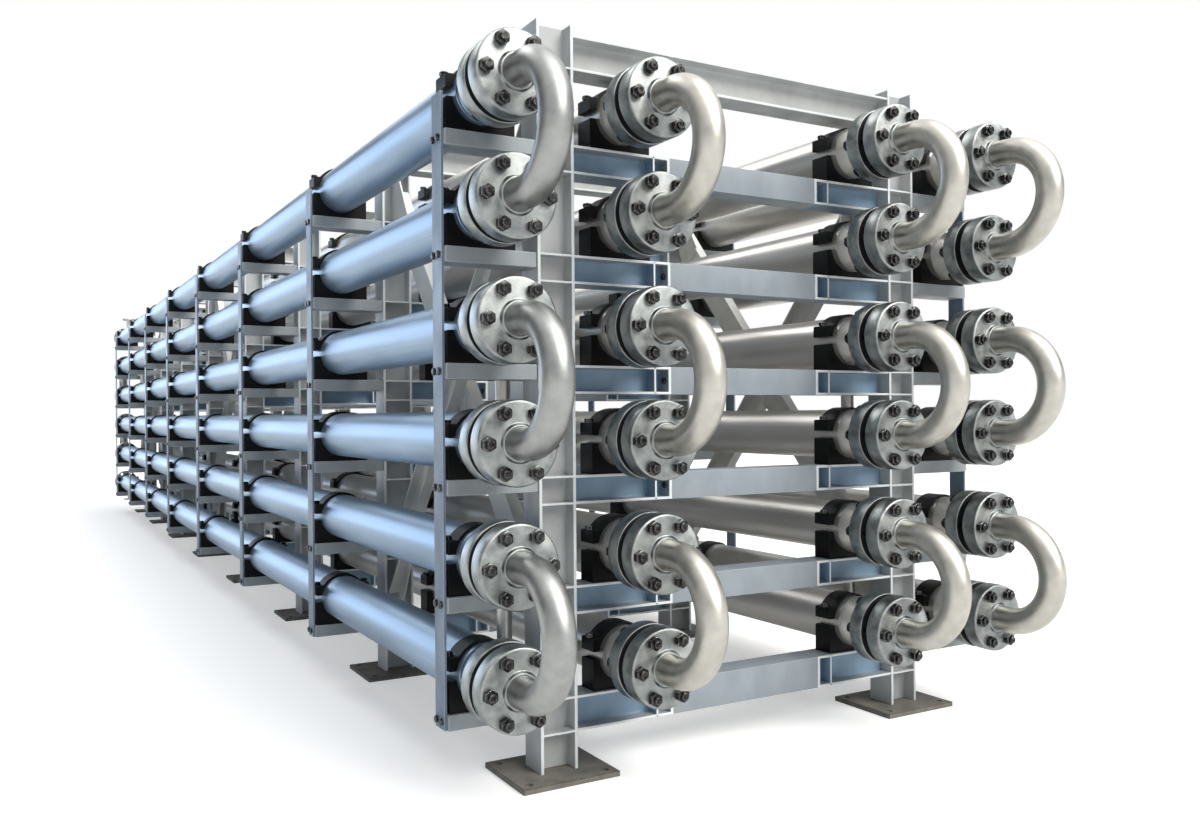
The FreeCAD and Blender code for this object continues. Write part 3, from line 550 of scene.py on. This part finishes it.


# Column 1 gets darker, bluer copies of the pipe and bend finishes: painted cool shade on the rack's left
# side.
COOL_PIPE = drawn_stainless("drawn stainless pipe, painted cool shade", "#87a0b8", "#a8bfd5", "#778694")
PIPE = drawn_stainless("drawn stainless pipe", "#c4c2bd", "#dad8d3", "#aeaba6")
COOL_BEND = blasted_stainless("blasted stainless bend, painted cool shade", "#a1a3a1", "#b3b5b3", "#8d8f8d")
BEND = blasted_stainless("blasted stainless bend", "#c5c2ba", "#d7d4cc", "#afaca4")
FLANGE = turned_flange()
CLAMP = black_clamp_steel()
BOLT = oiled_bolt_steel()
GREASED = greased_face()
# Each frame paint's last colour is the painted highlight on its edges.
FRAME_GREY = frame_paint("pale grey frame paint", "#bfc2c2", "#a9adaf", "#eef0f0")
# The flange tips' paint is a painted highlight.
FRAME_EDGE = frame_paint("flange tip paint, painted highlight", "#e6ebee", "#d3dade", "#f6f8f9")
ARM_GREY = frame_paint("grey arm paint", "#a1a8ac", "#8c9398", "#e2e7ea")
# The arms' web paint is darker and bluer: painted cool shade in the recess.
WEB_BLUE = frame_paint("blue grey web paint, painted cool shade", "#86a2ba", "#7590a8", "#b9cad8")
TIE_GREY = frame_paint("tie paint", "#949da5", "#848d96", "#dde3e7")
TOP_TIE_GREY = frame_paint("top tie paint", "#c2c5c4", "#adb1b1", "#eef0f0")
# The uprights' darker blue grey is painted cool shade on their left faces.
UPRIGHT_BLUE = frame_paint("upright paint, painted cool shade", "#7c8da1", "#66778b", "#e6eef8")
BRACE_PAINT = frame_paint("warm grey brace paint", "#dddedb", "#cbccc8", "#f3f3f0")
PLATE_PAINT = floor_plate_paint()


# Pieces.

def make_piece(name, shapes, materials, nodes=(), pick=None, turned_about=None):
    """Put shapes into one mesh object that rides on the rack and stands for CAD nodes.

    pick gives each face's material number from the faces' centres. turned_about gives
    each point's offset from the axis that it was turned about, which the finish follows."""
    points, tables = joined(shapes)
    faces = [face for table in tables for face in table.tolist()]
    mesh = bpy.data.meshes.new(name)
    mesh.from_pydata(points, [], faces)
    build = bmesh.new()
    build.from_mesh(mesh)
    bmesh.ops.recalc_face_normals(build, faces=build.faces)
    build.to_mesh(mesh)
    build.free()
    mesh.shade_smooth()
    mesh.set_sharp_from_angle(angle=math.radians(SMOOTH_DEG))
    for material in materials:
        mesh.materials.append(material)
    if pick is not None:
        centres = np.concatenate([points[table].mean(axis=1) for table in tables])
        mesh.polygons.foreach_set("material_index", pick(centres).astype(np.int32))
    if turned_about is not None:
        dx, dz = turned_about(points)
        radius = np.hypot(dx, dz)
        attribute = mesh.attributes.new("turning_radius", "FLOAT", "POINT")
        attribute.data.foreach_set("value", radius.astype(np.float32))
        direction = np.stack([-dz, np.zeros_like(dx), dx], axis=1) / np.maximum(radius, TINY)[:, None]
        attribute = mesh.attributes.new("turning_direction", "FLOAT_VECTOR", "POINT")
        attribute.data.foreach_set("vector", direction.astype(np.float32).ravel())
    piece = bpy.data.objects.new(name, mesh)
    bpy.context.scene.collection.objects.link(piece)
    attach(piece, "root")
    if nodes:
        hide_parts(*nodes)


def both_ends(shape):
    """A shape made for the near end, and its half turn for the far end."""
    return shape, mapped(shape, HALF_TURN)


def joint_places():
    """Centres of the flange joints at the near and the far end frame."""
    near = [(x, -END_Y, z) for x in COLUMN_X for z in ROW_Z]
    far = [(x, END_Y, z) for x in COLUMN_X for z in ROW_Z[1:-1]]
    return near, far


def at_both_ends(shape):
    """A near-end shape, copied to every joint of both ends."""
    near, far = joint_places()
    near_shape, far_shape = both_ends(shape)
    return [copies(near_shape, near), copies(far_shape, far)]


def offset_from_pipe(points):
    """Offset of each point in X and Z from the axis of the pipe nearest to it."""
    offsets = []
    for column, centres in ((0, COLUMN_X), (2, ROW_Z)):
        apart = points[:, column:column + 1] - np.array(centres)[None]
        nearest = np.abs(apart).argmin(axis=1)
        offsets.append(np.take_along_axis(apart, nearest[:, None], axis=1)[:, 0])
    return offsets


def weld_ring(radius, y, count=5):
    """Profile points of a weld bead: a low arch, bead times cos of the way across it."""
    across = np.linspace(-1, 1, count)
    arch = radius + WELD_BEAD * np.cos(across * math.pi / 2)
    return np.stack([arch, y + across * WELD_HALF_WIDTH], axis=1)


def jackets():
    """The shells: a long pipe with a cone and an end ring at each end, and weld beads."""
    end = END_Y + CONE_END
    cone = END_Y + CONE_START
    half = np.concatenate([[(TUBE_R, end), (CONE_R - CONE_CHAMFER, end), (CONE_R, end - CONE_CHAMFER)],
                           weld_ring(SHELL_R, cone)])
    other = half[::-1] * (1, -1)
    shape = lathe(np.concatenate([half, other]), SHELL_AROUND)
    for c, x in enumerate(COLUMN_X, 1):
        for r, z in enumerate(ROW_Z, 1):
            # Column 1 takes the pipe finish with painted cool shade.
            finish = COOL_PIPE if c == 1 else PIPE
            make_piece(f"jacket_c{c}_r{r}", [copies(shape, (x, 0, z))], [finish],
                       [f"shell_c{c}_r{r}"])


def return_bends():
    """The U-shaped bends. Along the path the ring centre runs down one leg, round a half
    circle of half the row pitch, and back: y = c - R sin a, z = R cos a."""
    leg = np.linspace(LENS_END, BEND_CENTRE, LEG_RINGS)[:-1]
    turn = np.linspace(0, math.pi, TURN_RINGS)
    radius = PITCH / 2
    upper = np.stack([np.zeros_like(leg), -leg, np.full_like(leg, radius)], axis=1)
    outwards = BEND_CENTRE + radius * np.sin(turn)
    arc = np.stack([np.zeros_like(turn), -outwards, radius * np.cos(turn)], axis=1)
    lower = upper[::-1] * (1, 1, -1)
    centres = np.concatenate([upper, arc, lower])
    shape = tube_along(centres, (1, 0, 0), TUBE_R - MESH_SHORTFALL, BEND_AROUND)
    near, far = both_ends(shape)
    for c, x in enumerate(COLUMN_X, 1):
        for r in range(1, ROWS):
            z = (ROW_Z[r - 1] + ROW_Z[r]) / 2
            end, y, copy = ("near", -END_Y, near) if r % 2 else ("far", END_Y, far)
            # Column 1 takes the bend finish with painted cool shade.
            finish = COOL_BEND if c == 1 else BEND
            make_piece(f"bend_{end}_c{c}_r{r}{r + 1}", [copies(copy, (x, y, z))], [finish],
                       [f"{end}_bend_c{c}_r{r}{r + 1}"])


def joint_flanges():
    """Turned flanges: a ring section with rounded rims, and a low collar on the bend side."""
    back = -FLANGE_START
    face = -FLANGE_FACE
    rim = FLANGE_EDGE_R
    tube_side = rounded([(TUBE_R, back), (FLANGE_R, back), (FLANGE_R, face), (TUBE_R, face)],
                        [BORE_CORNER, rim, GAP_RIM, BORE_CORNER])
    start = -LENS_END
    end = -BEND_FLANGE_FACE
    collar = COLLAR_R - TUBE_R
    bend_side = rounded([(TUBE_R, start), (FLANGE_R, start), (FLANGE_R, end), (COLLAR_R, end),
                         (COLLAR_R - collar / 2, end - COLLAR_HEIGHT), (TUBE_R, end - COLLAR_HEIGHT)],
                        [BORE_CORNER, GAP_RIM, rim, COLLAR_CORNER, COLLAR_CORNER, SHARP_CORNER])

    def sealing_faces(centres):
        """1 on the two faces that look into the joint's gap, which take the painted gap shade, 0 elsewhere.
        """
        outwards = np.abs(centres[:, 1]) - END_Y
        in_gap = np.abs(outwards - (FLANGE_FACE + LENS_GAP / 2)) < LENS_GAP / 2 + GAP_RIM
        return in_gap & (np.hypot(*offset_from_pipe(centres)) < FLANGE_R - GAP_RIM)

    for name, outline in (("tube_side_flanges", tube_side), ("bend_side_flanges", bend_side)):
        make_piece(name, at_both_ends(lathe(outline, FLANGE_AROUND)), [FLANGE, GREASED],
                   ["pipe_flanges"], pick=sealing_faces, turned_about=offset_from_pipe)


def node_shape(name):
    """A copy of a CAD node's surface, with the points that its triangles share merged."""
    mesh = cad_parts[name].data
    points = np.empty(3 * len(mesh.vertices))
    mesh.vertices.foreach_get("co", points)
    corners = np.empty(len(mesh.loops), np.int64)
    mesh.loops.foreach_get("vertex_index", corners)
    merged, index = np.unique(points.reshape(-1, 3).round(6), axis=0, return_inverse=True)
    triangles = index.reshape(-1)[corners].reshape(-1, 3)
    apart = (triangles != np.roll(triangles, 1, axis=1)).all(axis=1)
    return merged, [triangles[apart]]


def open_flanges():
    """The product line's flanges, whose stud holes are open."""
    make_piece("open_flanges", [node_shape("product_flanges")], [FLANGE],
               ["product_flanges"], turned_about=offset_from_pipe)


def lens_rings():
    """The sealing rings between the flanges, with a rounded rim, all in the black painted gap shade."""
    outline = rounded([(TUBE_BORE_R, -FLANGE_FACE), (LENS_R, -FLANGE_FACE), (LENS_R, -LENS_END),
                       (TUBE_BORE_R, -LENS_END)], [SHARP_CORNER, LENS_RELIEF, LENS_RELIEF, SHARP_CORNER])
    make_piece("seal_rings", at_both_ends(lathe(outline, LENS_AROUND)), [GREASED],
               ["lens_rings"])


def flange_bolting():
    """Studs with pointed tips, and a chamfered nut at each end of each stud."""
    low = -(BEND_FLANGE_FACE + NUT_HEIGHT + STUD_TIP)
    high = -(FLANGE_START - NUT_HEIGHT - STUD_TIP)
    point_r = STUD_R - STUD_POINT
    profile = [(point_r, low), (STUD_R, low + STUD_POINT), (STUD_R, high - STUD_POINT), (point_r, high)]
    places = circle_points(FLANGE_PCD, FLANGE_HOLES)
    studs = copies(lathe(profile, STUD_AROUND, looped=False), places)
    make_piece("studs", at_both_ends(studs), [BOLT], ["flange_studs"])
    nut = hexagon_nut(NUT_FLATS, NUT_HEIGHT)
    outer = copies(nut, places + (0, -BEND_FLANGE_FACE - NUT_HEIGHT, 0))
    inner = copies(nut, places + (0, -FLANGE_START, 0))
    make_piece("nuts", at_both_ends(outer) + at_both_ends(inner), [BOLT], ["flange_nuts"])


def clamp_places():
    """Where a pipe crosses a frame."""
    return [(x, y, z) for y in FRAME_Y for x in COLUMN_X for z in ROW_Z]


def clamps():
    """Saddles, straps and their bolts, at every pipe and frame.

    The saddle's outline is a block with a round seat, z = -sqrt(r^2 - x^2). The strap's
    is an arch of the same centre with a square ear on each side."""
    half = CLAMP_LENGTH_Y / 2
    gap = CLAMP_GAP / 2
    places = clamp_places()
    block = rounded([(-CLAMP_HALF_X, -gap), (-CLAMP_HALF_X, -SEAT_DROP), (CLAMP_HALF_X, -SEAT_DROP),
                     (CLAMP_HALF_X, -gap)], [CLAMP_ROUND, EDGE_R, EDGE_R, CLAMP_ROUND], 3)
    edge = math.asin(gap / CLAMP_BORE_R)
    seat_angle = np.linspace(-edge, -math.pi + edge, SEAT_POINTS)
    seat = CLAMP_BORE_R * np.stack([np.cos(seat_angle), np.sin(seat_angle)], axis=1)
    saddle = bar(np.concatenate([block, seat]), -half, half, CLAMP_EDGE_R)
    make_piece("saddles", [copies(saddle, places)], [CLAMP], ["lower_clamps"])

    rise = math.asin(EAR_TOP / STRAP_R)
    arch_angle = np.linspace(rise, math.pi - rise, ARCH_POINTS)
    arch = STRAP_R * np.stack([np.cos(arch_angle), np.sin(arch_angle)], axis=1)
    steps = 3
    ear = rounded([(CLAMP_BOLT_X, gap), (CLAMP_HALF_X, gap), (CLAMP_HALF_X, EAR_TOP),
                   (CLAMP_BOLT_X, EAR_TOP)], [SHARP_CORNER, EDGE_R, CLAMP_ROUND, SHARP_CORNER], steps)
    right_ear = ear[steps:-steps]                          # the arch takes its inner corners' place
    under = CLAMP_BORE_R * np.stack([np.cos(-seat_angle[::-1]), np.sin(-seat_angle[::-1])], axis=1)
    left_ear = right_ear[::-1] * (-1, 1)
    strap = bar(np.concatenate([right_ear, arch, left_ear, under]), -half, half, CLAMP_EDGE_R)
    make_piece("straps", [copies(strap, places)], [CLAMP], ["upper_clamps"])

    head = mapped(hexagon_nut(CLAMP_BOLT_FLATS, CLAMP_BOLT_HEAD), ALONG_Z)
    spread = [(x + side * CLAMP_BOLT_X, y, z + EAR_TOP) for x, y, z in places for side in (-1, 1)]
    make_piece("clamp_bolt_heads", [copies(head, spread)], [BOLT], ["clamp_bolts"])


def section_i(half_width, low, high, flange, web, root):
    """Outline of an I or H section: two flanges joined by a web, with root fillets."""
    w = web / 2
    toe = EDGE_R
    lower = [(-half_width, low), (half_width, low), (half_width, low + flange), (w, low + flange)]
    upper = [(w, high - flange), (half_width, high - flange), (half_width, high), (-half_width, high)]
    back = [(-half_width, high - flange), (-w, high - flange), (-w, low + flange),
            (-half_width, low + flange)]
    radii = [toe, toe, toe, root, root, toe, toe, toe, toe, root, root, toe]
    return rounded(lower + upper + back, radii)


def beam_tops():
    """Top and depth of the beams, from the top row down."""
    return [(z - SEAT_DROP, END_BEAM_DEPTH if r == ROWS else BEAM_DEPTH) for r, z in enumerate(ROW_Z, 1)]


def on_frames(shapes):
    """Shapes of one frame, copied to every frame."""
    places = [(0, y, 0) for y in FRAME_Y]
    return [copies(shape, places) for shape in shapes]


def both_sides(shapes):
    """Right-hand shapes and their mirror images."""
    return shapes + [mapped(shape, MIRROR_X) for shape in shapes]


def edge_faces(half_width, materials=(0, 1)):
    """A pick: the first material, and the second, a paler painted highlight, on faces at the tips of the
    flanges.
    """
    def pick(centres):
        across = np.abs(centres[:, 1:2] - FRAME_Y[None]).min(axis=1)
        return np.where(across > half_width - EDGE_R, materials[1], materials[0])
    return pick


def posts():
    """H-section posts with stiffener plates between their flanges at the beams."""
    outline = section_i(POST_WIDTH_Y / 2, -POST_DEPTH_X / 2, POST_DEPTH_X / 2, POST_FLANGE, POST_WEB,
                        POST_ROOT)
    turned_outline = outline[:, ::-1]
    shaft = mapped(bar(turned_outline, BASE_THICK, POST_TOP), ALONG_Z)
    inner = POST_DEPTH_X / 2 - POST_FLANGE
    clip = inner - STIFFENER_CLIP
    web, tip = POST_WEB / 2, POST_WIDTH_Y / 2
    stiffener_line = rounded([(-clip, web), (clip, web), (inner, web + STIFFENER_CLIP), (inner, tip),
                              (-inner, tip), (-inner, web + STIFFENER_CLIP)], EDGE_R, 3)
    shapes = [shaft]
    heights = [z for top, depth in beam_tops() for z in (top - depth, top - STIFFENER)]
    for z in heights + [TOP_TIE_TOP - END_BEAM_DEPTH]:
        sheet = mapped(bar(stiffener_line, z, z + STIFFENER), ALONG_Z)
        shapes += [sheet, mapped(sheet, HALF_TURN)]
    moved_shapes = [(points + (POST_X, 0, 0), tables) for points, tables in shapes]
    # Faces at the flange tips take the paler paint, a painted highlight.
    make_piece("rack_posts", on_frames(both_sides(moved_shapes)), [FRAME_GREY, FRAME_EDGE],
               ["posts"], pick=edge_faces(POST_WIDTH_Y / 2))


def beams():
    """Top ties, arms and ties. An arm's web is a darker, bluer paint than its flanges and end plate:
    painted cool shade between the flanges.
    """
    half = BEAM_WIDTH_Y / 2
    post_face = POST_X - POST_DEPTH_X / 2
    right = []
    middle = []
    outline = section_i(half, TOP_TIE_TOP - END_BEAM_DEPTH, TOP_TIE_TOP, BEAM_FLANGE, BEAM_WEB, BEAM_ROOT)
    top_tie = mapped(bar(outline, -post_face, post_face), ALONG_X)
    for top, depth in beam_tops():
        low = top - depth
        outline = section_i(half, low, top, BEAM_FLANGE, BEAM_WEB, BEAM_ROOT)
        right.append(mapped(bar(outline, TIE_HALF_X + END_PLATE - EDGE_R, post_face), ALONG_X))
        right.append(plate(TIE_HALF_X, TIE_HALF_X + END_PLATE, -half, half, low, top))
        rib = POST_X - ARM_REACH
        right.append(plate(rib, rib + STIFFENER, -half, half, low, top))
        channel = rounded([(-half, low), (half, low), (half, low + BEAM_FLANGE),
                           (-half + BEAM_WEB, low + BEAM_FLANGE), (-half + BEAM_WEB, top - BEAM_FLANGE),
                           (half, top - BEAM_FLANGE), (half, top), (-half, top)],
                          [EDGE_R, EDGE_R, EDGE_R, BEAM_ROOT, BEAM_ROOT, EDGE_R, EDGE_R, EDGE_R])
        middle.append(mapped(bar(channel, -TIE_HALF_X, TIE_HALF_X), ALONG_X))
        for x in (-TIE_HALF_X, TIE_HALF_X - END_PLATE):
            middle.append(plate(x, x + END_PLATE, -half + BEAM_WEB / 2, half, low + BEAM_FLANGE / 2,
                                top - BEAM_FLANGE / 2))
        arm_start = POST_X + POST_DEPTH_X / 2
        arm_end = POST_X + ARM_REACH - UPRIGHT_THICK / 2
        right.append(plate(arm_start, arm_end, -OUTER_ARM_WIDTH_Y / 2, OUTER_ARM_WIDTH_Y / 2,
                           top - OUTER_ARM_DEPTH, top, OUTER_ARM_ROUND))

    def arm_faces(centres):
        """1 where a face belongs to an arm's web or fillets, for its painted cool shade, 2 at the tips of
        flanges, for their painted highlight, 0 elsewhere.
        """
        near_web = np.abs(centres[:, 1:2] - FRAME_Y[None]).min(axis=1) < BEAM_WEB
        out = np.abs(centres[:, 0])
        inside = (out > TIE_HALF_X + 2 * END_PLATE) & (out < post_face)
        tops = np.array([top for top, depth in beam_tops()])
        between_flanges = np.abs(centres[:, 2:3] - tops[None]).min(axis=1) > BEAM_FLANGE
        return np.where(near_web & inside & between_flanges, 1, edge_faces(half, (0, 2))(centres))

    # The arms' webs take the painted cool shade, and their flange tips the painted highlight.
    make_piece("arms", on_frames(both_sides(right)), [ARM_GREY, WEB_BLUE, FRAME_EDGE],
               ["cross_beams"], pick=arm_faces)
    make_piece("ties", on_frames(middle), [TIE_GREY])
    # The top ties' flange tips take the paler paint, a painted highlight.
    make_piece("top_ties", on_frames([top_tie]), [TOP_TIE_GREY, FRAME_EDGE],
               pick=edge_faces(half))


def uprights():
    """Flat bars outside the pipes, and the bolt heads and nuts at each arm and tie."""
    x0 = POST_X + ARM_REACH - UPRIGHT_THICK / 2
    x1 = x0 + UPRIGHT_THICK
    bottom = ROW_Z[-1] - SEAT_DROP - OUTER_ARM_DEPTH
    flat = plate(x0, x1, -UPRIGHT_WIDTH_Y / 2, UPRIGHT_WIDTH_Y / 2, bottom, ROW_Z[0])
    # The uprights' paint carries painted cool shade.
    make_piece("upright_bars", on_frames(both_sides([flat])), [UPRIGHT_BLUE],
               ["outer_uprights"])

    head = mapped(hexagon_nut(FRAME_BOLT_FLATS, FRAME_BOLT_HEAD), ALONG_X)
    places = []
    for top, depth in beam_tops():
        z = top - OUTER_ARM_DEPTH / 2
        inner_nut = x0 - END_PLATE - FRAME_BOLT_HEAD
        places += [(x, y, z) for x in (x1, inner_nut) for y in (-UPRIGHT_BOLT_Y, UPRIGHT_BOLT_Y)]
        z = top - depth / 2
        pocket, hollow = TIE_HALF_X + END_PLATE, TIE_HALF_X - END_PLATE - FRAME_BOLT_HEAD
        places += [(x, y, z) for x in (pocket, hollow) for y in (-TIE_BOLT_Y, TIE_BOLT_Y)]
    heads = copies(head, places)
    make_piece("frame_bolt_heads", on_frames(both_sides([heads])), [BOLT], ["frame_bolts"])


def shell_pipes():
    """Crossovers that join two shells beside the post, and flanged nozzles at the far end.

    A crossover's centre line leaves the shell, turns down a quarter circle, runs a pitch
    and turns back."""
    reach = SHELL_R + CROSSOVER_REACH
    bend = CROSSOVER_BEND_R
    quarter = np.linspace(0, math.pi / 2, QUARTER_POINTS)
    out = np.array([(BRANCH_START, 0.0), (reach - bend - CROSSOVER_LEAD, 0.0)])
    first = np.stack([reach - bend + bend * np.sin(quarter), -bend + bend * np.cos(quarter)], axis=1)
    half_line = np.concatenate([out, first])
    line = np.concatenate([half_line, half_line[::-1] * (1, -1) + (0, -PITCH)])
    centres = np.stack([line[:, 0], np.zeros(len(line)), line[:, 1]], axis=1)
    link_pipe = tube_along(centres, (0, 1, 0), CROSSOVER_R, CROSSOVER_AROUND)
    shapes = []
    for x in COLUMN_X:
        toward = link_pipe if x < math.copysign(POST_X, x) else mapped(link_pipe, MIRROR_X)
        places = [(x, (-1 if r % 2 else 1) * (END_Y - CROSSOVER_Y), ROW_Z[r - 1]) for r in range(1, ROWS)]
        shapes.append(copies(toward, places))
    face = SHELL_R + NOZZLE_HEIGHT
    back = face - NOZZLE_FLANGE_THICK
    outline = rounded([(NOZZLE_BORE_R, BRANCH_START), (CROSSOVER_R, BRANCH_START), (CROSSOVER_R, back),
                       (NOZZLE_FLANGE_R, back), (NOZZLE_FLANGE_R, face), (NOZZLE_BORE_R, face)],
                      [SHARP_CORNER, SHARP_CORNER, NOZZLE_FILLET, NOZZLE_CORNER, NOZZLE_CORNER,
                       SHARP_CORNER], 3)
    nozzle = mapped(lathe(outline, NOZZLE_AROUND), ALONG_Z)
    y = END_Y - NOZZLE_Y
    shapes.append(copies(nozzle, [(x, y, ROW_Z[0]) for x in COLUMN_X]))
    shapes.append(copies(mapped(nozzle, np.diag([1, 1, -1])), [(x, y, ROW_Z[-1]) for x in COLUMN_X]))
    make_piece("shell_side_pipes", shapes, [PIPE], ["shell_pipes"])


def repaint(node, material):
    """Give a CAD node a new finish."""
    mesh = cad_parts[node].data
    mesh.materials.clear()
    mesh.materials.append(material)


jackets()
return_bends()
joint_flanges()
open_flanges()
lens_rings()
flange_bolting()
clamps()
posts()
beams()
uprights()
shell_pipes()
repaint("braces", BRACE_PAINT)
repaint("base_plates", PLATE_PAINT)
repaint("inner_tubes", PIPE)


# Floor, light and camera.

def make_floor():
    """A wide pale floor that keeps the rack's soft shadow."""
    mesh = bpy.data.meshes.new("floor")
    corners = [(x * FLOOR_HALF, y * FLOOR_HALF, 0) for x, y in ((-1, -1), (1, -1), (1, 1), (-1, 1))]
    mesh.from_pydata(corners, [], [(0, 1, 2, 3)])
    material, tree, shader = new_material("pale floor")[:3]
    mirrored = add(tree, "LightPath", output="Is Glossy Ray")
    mirrored = add(tree, "Math", {0: mirrored, 1: FLOOR_GLOW_MIRRORED}, operation="MULTIPLY")
    seen = add(tree, "LightPath", output="Is Camera Ray")
    glow = add(tree, "Math", {0: seen, 1: FLOOR_GLOW, 2: mirrored}, operation="MULTIPLY_ADD")
    wire(tree, shader, {"Base Color": "#e6e6e6", "Roughness": 0.9, "Emission Color": "#ffffff",
                        "Emission Strength": glow})
    mesh.materials.append(material)
    floor = bpy.data.objects.new("floor", mesh)
    bpy.context.scene.collection.objects.link(floor)


def make_world():
    """White where the camera sees it. Metal sees a bright horizon and ceiling with a grey
    band between, dim on one side, and everything else gets an even soft light."""
    world = bpy.data.worlds.new("studio")
    world.use_nodes = True
    tree = world.node_tree
    tree.nodes.clear()
    direction = add(tree, "TexCoord", output="Generated")
    height = add(tree, "SeparateXYZ", {"Vector": direction}, "Z")
    sky = add(tree, "ValToRGB", {"Fac": height},
              stops=((0.04, "#ffffff"), (0.28, "#7f8890"), (0.65, "#ffffff")))
    side = add(tree, "VectorMath", {0: direction, 1: DIM_SIDE}, "Value", operation="DOT_PRODUCT")
    level = add(tree, "MapRange", {"Value": side, "From Min": DIM_FROM, "From Max": DIM_TO,
                                   "To Min": 1.0, "To Max": DIM_LEVEL})
    mirror = add(tree, "Background", {"Color": sky, "Strength": level})
    soft = add(tree, "Background", {"Color": "#eef3f8", "Strength": SOFT_LEVEL})
    white = add(tree, "Background", {"Color": "#ffffff", "Strength": 1.0})
    glossy = add(tree, "LightPath", output="Is Glossy Ray")
    through = add(tree, "LightPath", output="Is Transmission Ray")
    mirrored = add(tree, "Math", {0: glossy, 1: through}, operation="MAXIMUM")
    light = add(tree, "MixShader", {0: mirrored, 1: soft, 2: mirror})
    seen = add(tree, "LightPath", output="Is Camera Ray")
    wire(tree, tree.nodes.new("ShaderNodeOutputWorld"),
         {"Surface": add(tree, "MixShader", {0: seen, 1: light, 2: white})})
    bpy.context.scene.world = world


def make_sun(name, azimuth_deg, elevation_deg, strength, spread_deg, tint):
    """A soft light from a direction: azimuth 0 is behind a viewer who looks along +Y, and
    spread_deg is how wide the light looks from the rack."""
    data = bpy.data.lights.new(name, "SUN")
    data.energy = strength
    data.angle = math.radians(spread_deg)
    data.color = colour(tint)[:3]
    lamp = bpy.data.objects.new(name, data)
    lamp.rotation_euler = (math.radians(90 - elevation_deg), 0, math.radians(azimuth_deg))
    bpy.context.scene.collection.objects.link(lamp)


def make_camera():
    """The photograph's camera: it looks level, to the right of +Y, with a slight roll."""
    data = bpy.data.cameras.new("camera")
    data.lens = CAMERA_LENS
    data.sensor_width = CAMERA_SENSOR
    data.shift_y = CAMERA_SHIFT_Y
    data.clip_end = CAMERA_REACH
    camera = bpy.data.objects.new("camera", data)
    camera.location = CAMERA_PLACE
    turn = Matrix.Rotation(-math.radians(CAMERA_YAW_DEG), 4, "Z") @ Matrix.Rotation(math.pi / 2, 4, "X")
    camera.rotation_mode = "QUATERNION"
    camera.rotation_quaternion = (turn @ Matrix.Rotation(CAMERA_ROLL, 4, "Z")).to_quaternion()
    bpy.context.scene.collection.objects.link(camera)
    bpy.context.scene.camera = camera


make_floor()
make_world()
make_sun("key", azimuth_deg=24, elevation_deg=40, strength=2.85, spread_deg=36, tint="#fffbf5")
make_sun("skylight", azimuth_deg=20, elevation_deg=75, strength=1.1, spread_deg=50, tint="#ffffff")
make_sun("window", azimuth_deg=-163, elevation_deg=5, strength=0.6, spread_deg=30, tint="#daeaff")
make_sun("rim", azimuth_deg=-168, elevation_deg=42, strength=0.55, spread_deg=22, tint="#ffffff")
make_camera()
bpy.context.scene.view_settings.view_transform = "Standard"
